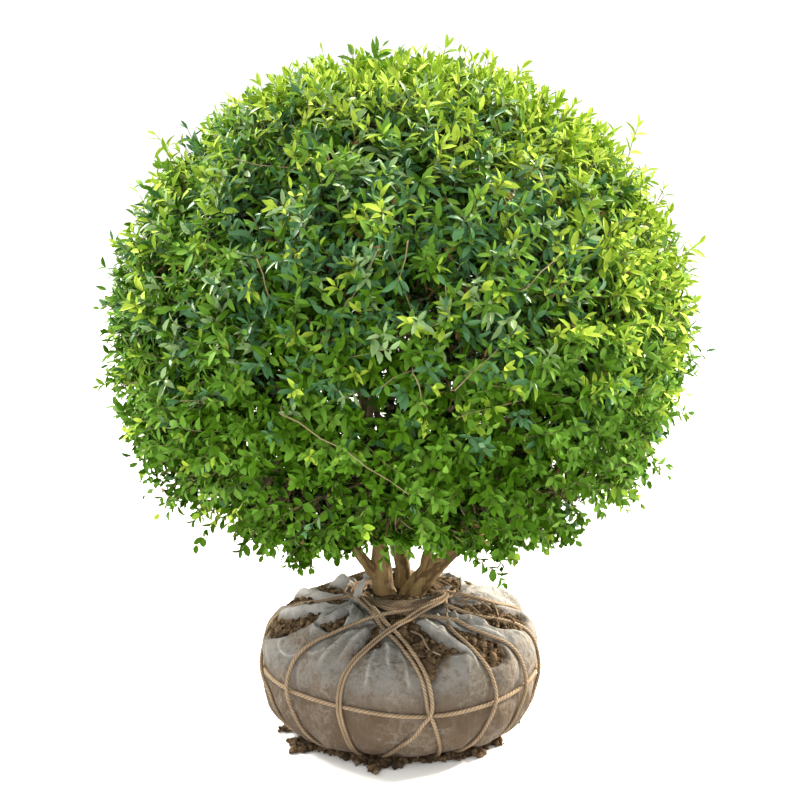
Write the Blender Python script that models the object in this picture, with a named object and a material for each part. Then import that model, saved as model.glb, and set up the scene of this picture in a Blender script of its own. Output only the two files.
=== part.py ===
"""A clipped privet ball on several stems, standing on its root ball.

The root ball is wrapped in a thin cloth and laced with jute rope from a coil round the
stems, over a belt, down to a ring under the ball. Metres, +Z up. The origin is the middle
of the flat underside.
"""

import math

import bmesh
import bpy
from mathutils import Vector, noise

# Root ball: the outside of the wrap
BALL_RADIUS = 0.233
BELLY_HEIGHT = 0.135
SHOULDER_RISE = 0.108
SHOULDER_POWER = 2.5
UNDER_DEPTH = 0.1424
UNDER_POWER = 3.2
NECK_RADIUS = 0.062
WRAP_THICKNESS = 0.002
CLEARANCE = 0.0003

# Rope
ROPE_RADIUS = 0.00375
ROPE_GAP = 0.0006
HOP_GAP = 0.0013
HOP_LEAD = 0.026
ROPE_STEP = 0.0195
FINE_STEPS = 5
NECK_COIL_WIDTH = 0.030
NECK_COIL_HEIGHT = 0.013

# Crown
CROWN_MIDDLE = 0.720
CROWN_RADIUS = 0.490
CROWN_RISE = 0.437
CROWN_DROP = 0.366
CROWN_TOP_POWER = 2.1
CROWN_UNDER_POWER = 3.0
CROWN_EDGE_CELLS = 11
LUMP_SIZE = 0.15
LUMP_HEIGHT = 0.016

AROUND = 32
WRAP_RINGS = 12
STEM_SIDES = 10
LIMB_SIDES = 8

# Openings between the gathers of the wrap, where the soil shows: the middle's azimuth in
# degrees and its distance down from the neck, with half of each extent
SOIL_OPENINGS = [
    (5, 0.118, 15, 0.040),
    (45, 0.152, 8, 0.038),
    (72, 0.098, 13, 0.036),
    (-66, 0.140, 14, 0.026),
    (125, 0.060, 16, 0.030),
    (-150, 0.110, 9, 0.030),
]

# Rope passes, in the order they are laid: azimuth in degrees from the front towards +X, and
# distance down from the neck. A pass that goes over one laid before it is lifted there.
PASS_ROUTES = {
    "rope_pass_front_right": [
        (12, 0.034), (20, 0.060), (28, 0.086), (31, 0.124), (35, 0.161), (39, 0.195),
        (41, 0.223), (41, 0.246), (39, 0.281), (36, 0.319), (33, 0.350), (31, 0.381),
    ],
    "rope_pass_right_front": [
        (32, 0.034), (35, 0.075), (39, 0.105), (48, 0.140), (55, 0.163), (59, 0.190),
        (61, 0.219), (61, 0.246), (60, 0.284), (58, 0.330), (57, 0.381),
    ],
    "rope_pass_right": [
        (48, 0.034), (50, 0.070), (57, 0.100), (68, 0.128), (77, 0.160), (82, 0.195),
        (82, 0.223), (79, 0.255), (75, 0.295), (73, 0.340), (73, 0.381),
    ],
    "rope_pass_right_back": [
        (66, 0.034), (76, 0.072), (88, 0.110), (99, 0.150), (106, 0.195), (110, 0.240),
        (111, 0.290), (111, 0.340), (110, 0.381),
    ],
    "rope_pass_back_right": [
        (104, 0.034), (122, 0.070), (133, 0.110), (141, 0.155), (145, 0.200), (146, 0.245),
        (145, 0.290), (142, 0.340), (140, 0.381),
    ],
    "rope_pass_back": [
        (168, 0.034), (177, 0.077), (185, 0.117), (190.5, 0.161), (194, 0.206),
        (194.5, 0.250), (193, 0.295), (189, 0.340), (186, 0.381),
    ],
    "rope_pass_back_left": [
        (-104, 0.034), (-120, 0.070), (-130, 0.110), (-136, 0.155), (-139, 0.200),
        (-140, 0.245), (-139, 0.290), (-137, 0.340), (-136, 0.381),
    ],
    "rope_pass_left_back": [
        (-82, 0.034), (-97, 0.070), (-107, 0.110), (-112, 0.155), (-114, 0.200),
        (-113, 0.245), (-110, 0.290), (-108, 0.340), (-107, 0.381),
    ],
    "rope_pass_left": [
        (-62, 0.034), (-79, 0.075), (-89, 0.114), (-92, 0.150), (-89, 0.190), (-83, 0.220),
        (-76, 0.248), (-69, 0.278), (-65, 0.320), (-63, 0.381),
    ],
    "rope_pass_middle": [
        (-48, 0.034), (-23, 0.060), (-5, 0.114), (3.5, 0.155), (8, 0.187), (10, 0.216),
        (11, 0.246), (13.7, 0.272), (17.0, 0.311), (19.5, 0.350), (21, 0.381),
    ],
    "rope_pass_middle_over": [
        (-36, 0.034), (-17, 0.061), (-0.9, 0.112), (6.3, 0.152), (10.5, 0.186), (12.6, 0.216),
        (12.2, 0.246), (8.7, 0.266), (5, 0.291), (-2.2, 0.324), (-8.5, 0.360), (-12, 0.381),
    ],
    "rope_pass_left_front": [
        (41, 0.034), (11.6, 0.046), (-18.4, 0.084), (-37, 0.126), (-44.5, 0.155),
        (-49, 0.185), (-51, 0.214), (-51, 0.242), (-49.5, 0.278), (-46.5, 0.313),
        (-43, 0.356), (-42, 0.381),
    ],
    "rope_pass_front": [
        (52, 0.034), (13, 0.062), (-5.5, 0.109), (-16, 0.147), (-21.5, 0.179), (-24, 0.209),
        (-24.5, 0.244), (-23.8, 0.278), (-22.5, 0.315), (-21.5, 0.367), (-21.5, 0.381),
    ],
}
DOUBLED = ["rope_pass_back", "rope_pass_front"]
BELT_ROUTE = [
    (-165, 0.246), (-130, 0.243), (-95, 0.239), (-60, 0.240), (-25, 0.245), (8, 0.256),
    (40, 0.252), (70, 0.243), (105, 0.245), (140, 0.250), (170, 0.250),
]

# Stems and limbs: centre line, with heights above the soil, and its radii
STEMS = {
    "stem_left": (
        [(-0.026, -0.012, 0.000), (-0.0285, -0.012, 0.015), (-0.0305, -0.012, 0.034),
         (-0.0325, -0.011, 0.055), (-0.034, -0.008, 0.079), (-0.038, -0.001, 0.111),
         (-0.046, 0.010, 0.161)],
        [0.0215, 0.0180, 0.0172, 0.0140, 0.0115, 0.0108, 0.0100],
    ),
    "stem_right": (
        [(0.0195, -0.014, 0.000), (0.026, -0.014, 0.013), (0.039, -0.013, 0.032),
         (0.056, -0.012, 0.050), (0.075, -0.009, 0.066), (0.093, -0.003, 0.082),
         (0.110, 0.004, 0.106), (0.130, 0.010, 0.151)],
        [0.0225, 0.0190, 0.0185, 0.0150, 0.0122, 0.0112, 0.0105, 0.0100],
    ),
    "stem_back": (
        [(0.0035, 0.026, 0.000), (0.0025, 0.028, 0.015), (0.0005, 0.031, 0.033),
         (-0.0035, 0.035, 0.056), (-0.009, 0.040, 0.086), (-0.018, 0.048, 0.151)],
        [0.0120, 0.0088, 0.0080, 0.0075, 0.0072, 0.0070],
    ),
}
LIMBS = {
    "limb_left": (
        "stem_left",
        [(-0.033, -0.012, 0.023), (-0.0445, -0.015, 0.042), (-0.058, -0.019, 0.062),
         (-0.0725, -0.024, 0.083), (-0.091, -0.030, 0.113), (-0.112, -0.036, 0.161)],
        [0.0105, 0.0098, 0.0088, 0.0078, 0.0072, 0.0068],
    ),
    "limb_middle": (
        "stem_right",
        [(0.036, -0.016, 0.023), (0.0405, -0.019, 0.042), (0.043, -0.020, 0.058),
         (0.047, -0.018, 0.076), (0.0545, -0.015, 0.096), (0.066, -0.008, 0.151)],
        [0.0100, 0.0088, 0.0078, 0.0070, 0.0064, 0.0060],
    ),
}
ROOT_RIDGES = 5
RIDGE_DEPTH = 0.09


def clear_scene():
    for item in list(bpy.data.objects):
        bpy.data.objects.remove(item, do_unlink=True)


def finish(name, colour, roughness):
    """A Principled material of the part's colour."""
    material = bpy.data.materials.new(name)
    material.use_nodes = True
    shader = material.node_tree.nodes["Principled BSDF"]
    shader.inputs["Base Color"].default_value = (*colour, 1.0)
    shader.inputs["Roughness"].default_value = roughness
    shader.inputs["Metallic"].default_value = 0.0
    return material


def add_object(name, data, material):
    item = bpy.data.objects.new(name, data)
    data.materials.append(material)
    bpy.context.collection.objects.link(item)
    return item


def mesh_from(name, points, faces):
    mesh = bpy.data.meshes.new(name)
    mesh.from_pydata([tuple(p) for p in points], [], faces)
    mesh.validate()
    mesh.shade_smooth()
    return mesh


def hide_helper(item):
    item.hide_render = True
    item.display_type = "WIRE"


def between(points, k, t):
    """The point at share t from points[k] to the next on a Catmull-Rom curve."""
    b, c = points[k], points[k + 1]
    a = points[k - 1] if k else 2 * b - c
    d = points[k + 2] if k + 2 < len(points) else 2 * c - b
    turn = 2 * a - 5 * b + 4 * c - d
    return 0.5 * (2 * b + (c - a) * t + turn * t**2 + (3 * b - a - 3 * c + d) * t**3)


def smooth_path(stations, step):
    """Points about a step apart on a smooth curve through the stations."""
    path = []
    for k in range(len(stations) - 1):
        pieces = max(1, round((stations[k + 1] - stations[k]).length / step))
        path += [between(stations, k, j / pieces) for j in range(pieces)]
    return path + [stations[-1]]


# The turned outline of the ball


def ball_outline():
    """Radius and height down the wrap from the neck to the edge of the flat underside."""
    fine = 120
    outline = []
    for k in range(fine + 1):
        angle = math.pi / 2 * (1 - k / fine)
        r = BALL_RADIUS * max(math.cos(angle), 0.0) ** (2 / SHOULDER_POWER)
        if r >= NECK_RADIUS:
            z = BELLY_HEIGHT + SHOULDER_RISE * math.sin(angle) ** (2 / SHOULDER_POWER)
            outline.append((r, z))
    for k in range(1, fine):
        angle = math.pi / 2 * k / fine
        z = BELLY_HEIGHT - UNDER_DEPTH * math.sin(angle) ** (2 / UNDER_POWER)
        if z <= 0:
            break
        outline.append((BALL_RADIUS * math.cos(angle) ** (2 / UNDER_POWER), z))
    foot = (BELLY_HEIGHT / UNDER_DEPTH) ** UNDER_POWER
    outline.append((BALL_RADIUS * (1 - foot) ** (1 / UNDER_POWER), 0.0))
    return outline


OUTLINE = ball_outline()
DOWN = [0.0]
for upper, lower in zip(OUTLINE, OUTLINE[1:]):
    DOWN.append(DOWN[-1] + math.dist(upper, lower))
FOOT_RADIUS = OUTLINE[-1][0]


def at_down(distance):
    """Radius, height and outward normal at a distance down the wrap from the neck."""
    distance = min(max(distance, 0.0), DOWN[-1])
    k = 1
    while k < len(DOWN) - 1 and DOWN[k] < distance:
        k += 1
    (r0, z0), (r1, z1) = OUTLINE[k - 1], OUTLINE[k]
    share = (distance - DOWN[k - 1]) / (DOWN[k] - DOWN[k - 1])
    run = Vector((r1 - r0, z1 - z0)).normalized()
    return r0 + share * (r1 - r0), z0 + share * (z1 - z0), (-run.y, run.x)


def on_ball(azimuth, distance, proud=0.0):
    """The point above the wrap at an azimuth in degrees and a distance from the neck."""
    r, z, (out, up) = at_down(distance)
    turn = math.radians(azimuth)
    r += out * proud
    return Vector((r * math.sin(turn), -r * math.cos(turn), z + up * proud))


# Soil and wrap


def turned(name, outline):
    """A closed solid of revolution from an outline that starts and ends on the axis."""
    points = [(0, 0, outline[0][1])]
    for r, z in outline[1:-1]:
        for k in range(AROUND):
            turn = 2 * math.pi * k / AROUND
            points.append((r * math.sin(turn), -r * math.cos(turn), z))
    points.append((0, 0, outline[-1][1]))
    faces = []
    rings = len(outline) - 2
    last = len(points) - 1
    for k in range(AROUND):
        n = (k + 1) % AROUND
        faces.append((0, 1 + k, 1 + n))
        for ring in range(rings - 1):
            a = 1 + ring * AROUND
            b = a + AROUND
            faces.append((a + k, b + k, b + n, a + n))
        a = 1 + (rings - 1) * AROUND
        faces.append((a + n, a + k, last))
    return mesh_from(name, points, faces)


def ring_distances():
    return [DOWN[-1] * k / WRAP_RINGS for k in range(WRAP_RINGS + 1)]


def soil_at(distance):
    """Radius and height of the soil just inside the wrap."""
    inset = WRAP_THICKNESS + CLEARANCE
    r, z, (out, up) = at_down(distance)
    return r - out * inset, max(z - up * inset, inset)


SOIL_TOP = soil_at(0.0)[1]


def make_soil():
    inset = WRAP_THICKNESS + CLEARANCE
    outline = [soil_at(distance) for distance in ring_distances()]
    foot_inset = 0.004
    outline[-1] = (FOOT_RADIUS - foot_inset, inset)
    outline = [(0.0, SOIL_TOP)] + outline + [(0.0, inset)]
    mesh = turned("soil_ball", outline)
    add_object("soil_ball", mesh, finish("soil", (0.20, 0.13, 0.08), 0.95))


def in_opening(azimuth, distance):
    for middle, down, half_turn, half_down in SOIL_OPENINGS:
        turn = (azimuth - middle + 180) % 360 - 180
        if (turn / half_turn) ** 2 + ((distance - down) / half_down) ** 2 < 1:
            return True
    return False


def make_wrap():
    """The cloth as one shell, open at the neck and between its gathers."""
    distances = ring_distances()
    points = []
    for distance in distances:
        points += [on_ball(360 * k / AROUND, distance) for k in range(AROUND)]
    faces = []
    for ring in range(WRAP_RINGS):
        for k in range(AROUND):
            azimuth = 360 * (k + 0.5) / AROUND
            if in_opening(azimuth, (distances[ring] + distances[ring + 1]) / 2):
                continue
            n = (k + 1) % AROUND
            a = ring * AROUND
            b = a + AROUND
            faces.append((a + k, b + k, b + n, a + n))
    rim = WRAP_RINGS * AROUND
    middle = len(points)
    points.append(Vector((0, 0, 0)))
    faces += [(rim + (k + 1) % AROUND, rim + k, middle) for k in range(AROUND)]
    mesh = mesh_from("wrap", points, faces)
    item = add_object("wrap", mesh, finish("cloth", (0.62, 0.60, 0.56), 0.85))
    shell = item.modifiers.new("Thickness", "SOLIDIFY")
    shell.thickness = WRAP_THICKNESS
    shell.offset = -1.0


# Rope


def rope_object(name, path, closed=False):
    curve = bpy.data.curves.new(name, "CURVE")
    curve.dimensions = "3D"
    curve.bevel_depth = ROPE_RADIUS
    curve.bevel_resolution = 1
    curve.use_fill_caps = not closed
    curve.resolution_u = 1
    curve.render_resolution_u = 0
    spline = curve.splines.new("POLY")
    spline.points.add(len(path) - 1)
    for point, place in zip(spline.points, path):
        point.co = (*place, 1.0)
    spline.use_cyclic_u = closed
    add_object(name, curve, ROPE_FINISH)


def lift_at(place, laid):
    """How far a rope is raised at a place to pass over those that lie there."""
    full = 2 * ROPE_RADIUS + HOP_GAP
    lift = 0.0
    for others in laid:
        near, raised = min(((place - p).length, up) for p, up in others)
        reach = min(max((HOP_LEAD - near) / (HOP_LEAD - full), 0.0), 1.0)
        lift = max(lift, (full + raised) * reach * reach * (3 - 2 * reach))
    return lift


def flat_route(route, step):
    """The route as smooth (azimuth, distance) pairs about a step apart on the wrap."""
    degree = math.radians(BALL_RADIUS)
    stations = [Vector((azimuth * degree, distance)) for azimuth, distance in route]
    return [(p.x / degree, p.y) for p in smooth_path(stations, step)]


def make_belt():
    route = BELT_ROUTE + [(BELT_ROUTE[0][0] + 360, BELT_ROUTE[0][1])]
    path = flat_route(route, 2 * ROPE_STEP)[:-1]
    base = ROPE_RADIUS + ROPE_GAP
    rope_object("rope_belt", [on_ball(a, d, base) for a, d in path], closed=True)
    dense = flat_route(route, ROPE_STEP / FINE_STEPS)
    return [(on_ball(a, d), 0.0) for a, d in dense]


def make_foot_ring():
    """The ring in the wedge between the ball and what it stands on."""
    base = ROPE_RADIUS + ROPE_GAP
    distance = DOWN[-1]
    while on_ball(0, distance, base).z < ROPE_RADIUS:
        distance -= 0.0005
    count = AROUND
    path = [on_ball(360 * k / count, distance, base) for k in range(count)]
    rope_object("rope_foot_ring", path, closed=True)
    return distance


def beside(track, aside):
    """The same track of (azimuth, distance) pairs, moved sideways on the ball."""
    moved = []
    for k, (azimuth, distance) in enumerate(track):
        before, after = track[max(k - 1, 0)], track[min(k + 1, len(track) - 1)]
        r = at_down(distance)[0]
        degree = math.radians(r)
        run = Vector(((after[0] - before[0]) * degree, after[1] - before[1])).normalized()
        moved.append((azimuth - run.y * aside / degree, distance + run.x * aside))
    return moved


def pass_tracks():
    """Each pass's name, track and twin; a doubled pass is two strands side by side."""
    tracks = []
    for name, route in PASS_ROUTES.items():
        track = flat_route(route, ROPE_STEP / FINE_STEPS)
        if name in DOUBLED:
            apart = ROPE_RADIUS + ROPE_GAP / 2
            tracks.append((name + "_1", beside(track, -apart), None))
            tracks.append((name + "_2", beside(track, apart), name + "_1"))
        else:
            tracks.append((name, track, None))
    return tracks


def make_passes(belt, ring_distance):
    """Every pass from the neck coil down to the ring, each lifted over those before it."""
    base = ROPE_RADIUS + ROPE_GAP
    end = ring_distance - 2 * ROPE_RADIUS - ROPE_GAP
    laid = {"rope_belt": belt}
    for name, track, twin in pass_tracks():
        below = [record for other, record in laid.items() if other != twin]
        track = [pair for pair in track if pair[1] < end - ROPE_RADIUS]
        track.append((track[-1][0], end))
        record = []
        for azimuth, distance in track:
            place = on_ball(azimuth, distance)
            record.append((place, lift_at(place, below)))
        picks = list(range(0, len(track) - FINE_STEPS // 2, FINE_STEPS)) + [len(track) - 1]
        path = [on_ball(*track[k], base + record[k][1]) for k in picks]
        rope_object(name, path)
        laid[name] = record


def make_neck_coil():
    """One ring of the outer shape of the turns that tie the wrap in round the stems."""
    low = ROPE_GAP
    high = NECK_COIL_HEIGHT
    section = [
        (0.0, low), (NECK_COIL_WIDTH, low), (NECK_COIL_WIDTH, 0.55 * high),
        (0.72 * NECK_COIL_WIDTH, high), (0.28 * NECK_COIL_WIDTH, high), (0.0, 0.55 * high),
    ]
    count = AROUND
    points = []
    for distance, proud in section:
        points += [on_ball(360 * k / count, distance, proud) for k in range(count)]
    faces = []
    sides = len(section)
    for side in range(sides):
        a = side * count
        b = (side + 1) % sides * count
        for k in range(count):
            n = (k + 1) % count
            faces.append((a + n, b + n, b + k, a + k))
    mesh = mesh_from("rope_neck_coil", points, faces)
    add_object("rope_neck_coil", mesh, ROPE_FINISH)


# Stems


def limb_mesh(name, stations, radii, sides, extra=0.0, flat_foot=False):
    """A tapering, slightly ridged tube with closed ends."""
    foot = Vector((0, 0, SOIL_TOP + CLEARANCE))
    stations = [Vector(station) + foot for station in stations]
    path = []
    widths = []
    for k in range(len(stations) - 1):
        path += [stations[k], between(stations, k, 0.5)]
        widths += [radii[k], (radii[k] + radii[k + 1]) / 2]
    path.append(stations[-1])
    widths.append(radii[-1])
    points = []
    for k, place in enumerate(path):
        along = path[min(k + 1, len(path) - 1)] - path[max(k - 1, 0)]
        if flat_foot and k == 0:
            along = Vector((0, 0, 1))
        across = Vector((0, 1, 0)).cross(along).normalized()
        other = along.normalized().cross(across)
        for s in range(sides):
            turn = 2 * math.pi * s / sides
            ridge = 1 + RIDGE_DEPTH * math.cos(ROOT_RIDGES * turn) * (1 - k / len(path))
            reach = widths[k] * ridge + extra
            points.append(place + reach * (across * math.cos(turn) + other * math.sin(turn)))
    faces = []
    for ring in range(len(path) - 1):
        a = ring * sides
        for s in range(sides):
            n = (s + 1) % sides
            faces.append((a + s, a + n, a + sides + n, a + sides + s))
    faces.append(tuple(reversed(range(sides))))
    faces.append(tuple(range((len(path) - 1) * sides, len(path) * sides)))
    mesh = mesh_from(name, points, faces)
    return mesh


def cut_by(item, cutter, name):
    cut = item.modifiers.new(name, "BOOLEAN")
    cut.operation = "DIFFERENCE"
    cut.solver = "EXACT"
    cut.object = cutter


def helper(name, mesh):
    item = bpy.data.objects.new(name, mesh)
    bpy.context.collection.objects.link(item)
    hide_helper(item)
    return item


def make_stems(crown_cutter):
    bark = finish("bark", (0.32, 0.22, 0.12), 0.85)
    stem_cutters = {}
    for name, (stations, radii) in STEMS.items():
        mesh = limb_mesh(name, stations, radii, STEM_SIDES, flat_foot=True)
        item = add_object(name, mesh, bark)
        cut_by(item, crown_cutter, "Crown")
        wide = limb_mesh(name + "_cutter", stations, radii, STEM_SIDES, CLEARANCE, True)
        stem_cutters[name] = helper(name + "_cutter", wide)
    for name, (stem, stations, radii) in LIMBS.items():
        mesh = limb_mesh(name, stations, radii, LIMB_SIDES)
        item = add_object(name, mesh, bark)
        cut_by(item, stem_cutters[stem], "Saddle")
        cut_by(item, crown_cutter, "Crown")


# Crown


def crown_mesh(name, proud=0.0):
    """The clipped mass: a rounded block with small lumps, flatter below than above."""
    mesh = bpy.data.meshes.new(name)
    shape = bmesh.new()
    bmesh.ops.create_cube(shape, size=2.0)
    bmesh.ops.subdivide_edges(
        shape, edges=shape.edges, cuts=CROWN_EDGE_CELLS - 1, use_grid_fill=True
    )
    for vert in shape.verts:
        spread = [math.tan(c * math.pi / 4) for c in vert.co]
        facing = Vector(spread).normalized()
        power = CROWN_TOP_POWER if facing.z > 0 else CROWN_UNDER_POWER
        rise = CROWN_RISE if facing.z > 0 else CROWN_DROP
        level = math.hypot(facing.x, facing.y) / CROWN_RADIUS
        reach = (level**power + abs(facing.z / rise) ** power) ** (-1 / power)
        lump = noise.noise(facing * CROWN_RADIUS / LUMP_SIZE * 2) * LUMP_HEIGHT
        vert.co = facing * (reach + lump + proud) + Vector((0, 0, CROWN_MIDDLE))
    bmesh.ops.recalc_face_normals(shape, faces=shape.faces)
    bmesh.ops.triangulate(shape, faces=shape.faces, quad_method="FIXED")
    shape.to_mesh(mesh)
    shape.free()
    mesh.shade_smooth()
    return mesh


def make_crown():
    leaf = finish("foliage", (0.16, 0.34, 0.06), 0.6)
    add_object("crown", crown_mesh("crown"), leaf)
    return helper("crown_cutter", crown_mesh("crown_cutter", 2 * CLEARANCE))


clear_scene()
ROPE_FINISH = finish("rope", (0.58, 0.44, 0.27), 0.9)
make_soil()
make_wrap()
belt_line = make_belt()
make_passes(belt_line, make_foot_ring())
make_neck_coil()
make_stems(make_crown())
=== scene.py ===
# A clipped privet ball on several stems, lifted from the nursery field with its root ball.
# Soil, thin fleece and jute rope below; boughs, twigs and small opposite leaves above.
# Metres, +Z up, standing on z = 0.

import math

import bpy
import numpy as np
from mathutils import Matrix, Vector, kdtree, noise


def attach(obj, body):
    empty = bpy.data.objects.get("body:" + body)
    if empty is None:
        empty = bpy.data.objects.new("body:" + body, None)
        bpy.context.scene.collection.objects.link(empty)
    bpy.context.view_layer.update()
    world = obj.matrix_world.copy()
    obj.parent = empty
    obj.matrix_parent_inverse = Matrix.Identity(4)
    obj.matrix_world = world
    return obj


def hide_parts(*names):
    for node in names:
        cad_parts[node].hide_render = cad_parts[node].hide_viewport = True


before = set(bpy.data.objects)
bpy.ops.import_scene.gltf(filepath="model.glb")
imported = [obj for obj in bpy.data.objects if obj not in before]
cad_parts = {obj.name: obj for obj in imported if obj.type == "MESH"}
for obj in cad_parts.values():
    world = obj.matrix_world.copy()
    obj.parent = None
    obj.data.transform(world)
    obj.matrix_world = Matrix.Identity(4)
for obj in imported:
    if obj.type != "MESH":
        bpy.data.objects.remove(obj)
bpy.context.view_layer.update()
bpy.ops.object.select_all(action="DESELECT")

# The studio: a white floor, an even white sky and one warm, fairly soft lamp high behind
# the right shoulder of the crown, as low sun would stand. A long lens looks slightly down.

scene = bpy.context.scene
scene.view_settings.view_transform = "Standard"


def put(name, data):
    """A new object in the scene."""
    thing = bpy.data.objects.new(name, data)
    bpy.context.collection.objects.link(thing)
    return thing


PICTURE_SIDE = 800
SENSOR = 36
FOCAL_PIXELS = 2121
PITCH_DOWN = 11.86
camera_data = bpy.data.cameras.new("camera")
camera_data.sensor_width = SENSOR
camera_data.lens = SENSOR * FOCAL_PIXELS / PICTURE_SIDE
scene.camera = put("camera", camera_data)
scene.camera.location = (0, -3.5, 1.315)
scene.camera.rotation_euler = (math.radians(90 - PITCH_DOWN), 0, 0)

scene.world = bpy.data.worlds.new("studio_sky")
scene.world.use_nodes = True
sky = scene.world.node_tree.nodes["Background"].inputs
sky["Color"].default_value = (1.0, 1.0, 0.98, 1)
sky["Strength"].default_value = 1.22


def plain_finish(name, colour, roughness, specular=0.5):
    """A finish of one base colour."""
    material = bpy.data.materials.new(name)
    material.use_nodes = True
    sockets = material.node_tree.nodes["Principled BSDF"].inputs
    sockets["Base Color"].default_value = (*colour, 1.0)
    sockets["Roughness"].default_value = roughness
    sockets["Specular IOR Level"].default_value = specular
    return material


bpy.ops.mesh.primitive_plane_add(size=600)
floor = bpy.context.object
floor.name = "floor"
floor.data.materials.append(plain_finish("floor_white", (0.985, 0.985, 0.98), 0.9, 0.0))


def lamp(name, kind, place, target, power, colour, **shape):
    """A lamp of the kind and shape given, which points at its target."""
    data = bpy.data.lights.new(name, kind)
    for key, value in {"energy": power, "color": colour, **shape}.items():
        setattr(data, key, value)
    light = put(name, data)
    light.location = place
    light.rotation_euler = (Vector(target) - Vector(place)).to_track_quat("-Z", "Y").to_euler()


lamp("sun_side", "AREA", (3.4, 1.3, 3.4), (0, 0, 0.6), 480, (1.0, 0.93, 0.80), shape="DISK", size=1.0)
lamp("back_light", "AREA", (-3.0, 1.7, 3.2), (0, 0, 0.7), 390, (1.0, 0.95, 0.84), shape="DISK", size=1.4)
# Two narrow beams on the root ball: low sun from behind on the right, and light thrown
# back at the ball from in front
for name, place, target, angle, size, power, colour in (
    ("low_sun", (2.7, 1.9, 1.10), (0.15, 0.07, 0.20), 12, 0.08, 1750, (1.0, 0.88, 0.70)),
    ("front_return", (-0.9, -3.1, 1.0), (0.0, 0.0, 0.12), 9.5, 0.30, 330, (1.0, 0.97, 0.93)),
):
    lamp(name, "SPOT", place, target, power, colour,
         spot_size=math.radians(angle), spot_blend=0.9, shadow_soft_size=size)

# The soil ball: dug clay loam, a squat turned shape with a flat foot. Crumbly where the
# fleece lies open, with clods and hair roots on it; smooth under the fleece.

BALL_RADIUS = 0.233
BELLY_HEIGHT = 0.135
SHOULDER_RISE = 0.108
SHOULDER_POWER = 2.5
UNDER_DEPTH = 0.1424
UNDER_POWER = 3.2
NECK_RADIUS = 0.062
TOP_STEPS = 29
FOOT_STEPS = 60


def run_length(path):
    """How far along a path each of its points lies."""
    return np.concatenate([[0], np.cumsum(np.linalg.norm(np.diff(path, axis=0), axis=1))])


def ball_outline():
    """Radius and height along the ball, from the axis on top to the axis underneath."""
    angle = np.linspace(math.pi / 2, 0, 400)
    top_r = BALL_RADIUS * np.cos(angle) ** (2 / SHOULDER_POWER)
    top_z = BELLY_HEIGHT + SHOULDER_RISE * np.sin(angle) ** (2 / SHOULDER_POWER)
    top_r, top_z = top_r[top_r >= NECK_RADIUS], top_z[top_r >= NECK_RADIUS]
    angle = np.linspace(0, math.pi / 2, 400)[1:]
    low_r = BALL_RADIUS * np.cos(angle) ** (2 / UNDER_POWER)
    low_z = BELLY_HEIGHT - UNDER_DEPTH * np.sin(angle) ** (2 / UNDER_POWER)
    foot_r = BALL_RADIUS * (1 - (BELLY_HEIGHT / UNDER_DEPTH) ** UNDER_POWER) ** (1 / UNDER_POWER)
    within = np.linspace(0, NECK_RADIUS, TOP_STEPS + 1)[:-1]
    r = np.concatenate([within, top_r, low_r[low_z > 0], np.linspace(foot_r, 0, FOOT_STEPS)])
    z = np.concatenate([np.full(TOP_STEPS, top_z[0]), top_z, low_z[low_z > 0], np.zeros(FOOT_STEPS)])
    down = run_length(np.stack([r, z], 1))
    return r, z, down - down[TOP_STEPS], foot_r


OUTLINE_R, OUTLINE_Z, OUTLINE_DOWN, FOOT_RADIUS = ball_outline()
FOOT_DOWN = OUTLINE_DOWN[-FOOT_STEPS]
run_r, run_z = np.gradient(OUTLINE_R, OUTLINE_DOWN), np.gradient(OUTLINE_Z, OUTLINE_DOWN)
OUTLINE_OUT, OUTLINE_UP = np.array([-run_z, run_r]) / np.hypot(run_r, run_z)


def on_ball(azimuth, distance, proud=0.0):
    """Points at azimuths in degrees and distances down from the neck, raised by proud."""
    azimuth, distance, proud = np.broadcast_arrays(azimuth, distance, proud)
    r, z, out, up = (np.interp(distance, OUTLINE_DOWN, values)
                     for values in (OUTLINE_R, OUTLINE_Z, OUTLINE_OUT, OUTLINE_UP))
    r = r + out * proud
    turn = np.radians(azimuth)
    return np.stack([r * np.sin(turn), -r * np.cos(turn), z + up * proud], -1)


def wander(points, size, shift=0.0):
    """Smooth noise from -1 to 1 at each point, with lumps of about the given size."""
    flat = np.asarray(points).reshape(-1, 3) / size + shift
    values = np.array([noise.noise(Vector(row)) for row in flat])
    return values.reshape(np.shape(points)[:-1])


def smooth_steps(values):
    values = np.clip(values, 0, 1)
    return values * values * (3 - 2 * values)


def unit(rows):
    return rows / np.maximum(np.linalg.norm(rows, axis=-1, keepdims=True), 1e-9)


def half_turns(angle):
    """Angles in degrees, brought to between -180 and 180."""
    return (angle + 180) % 360 - 180


def smooth_route(stations, pieces, closed=False):
    """Points on a smooth curve through the stations, with so many pieces from each on."""
    rows = np.asarray(stations, float)
    if closed:
        rows = np.concatenate([rows[-1:], rows, rows[:2]])
    else:
        rows = np.concatenate([2 * rows[:1] - rows[1:2], rows, 2 * rows[-1:] - rows[-2:-1]])
    t = (np.arange(pieces) / pieces)[None, :, None]
    a, b, c, d = (rows[k:len(rows) - 3 + k, None] for k in range(4))
    path = 0.5 * (2 * b + (c - a) * t + (2 * a - 5 * b + 4 * c - d) * t**2
                  + (3 * b - a - 3 * c + d) * t**3)
    path = path.reshape(-1, rows.shape[1])
    return path if closed else np.concatenate([path, rows[-2:-1]])


def ball_route(stations, pieces, closed=False):
    """A smooth route in degrees and metres, from one in degrees and millimetres."""
    return smooth_route(np.array(stations) / (1, 1000), pieces, closed)


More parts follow.
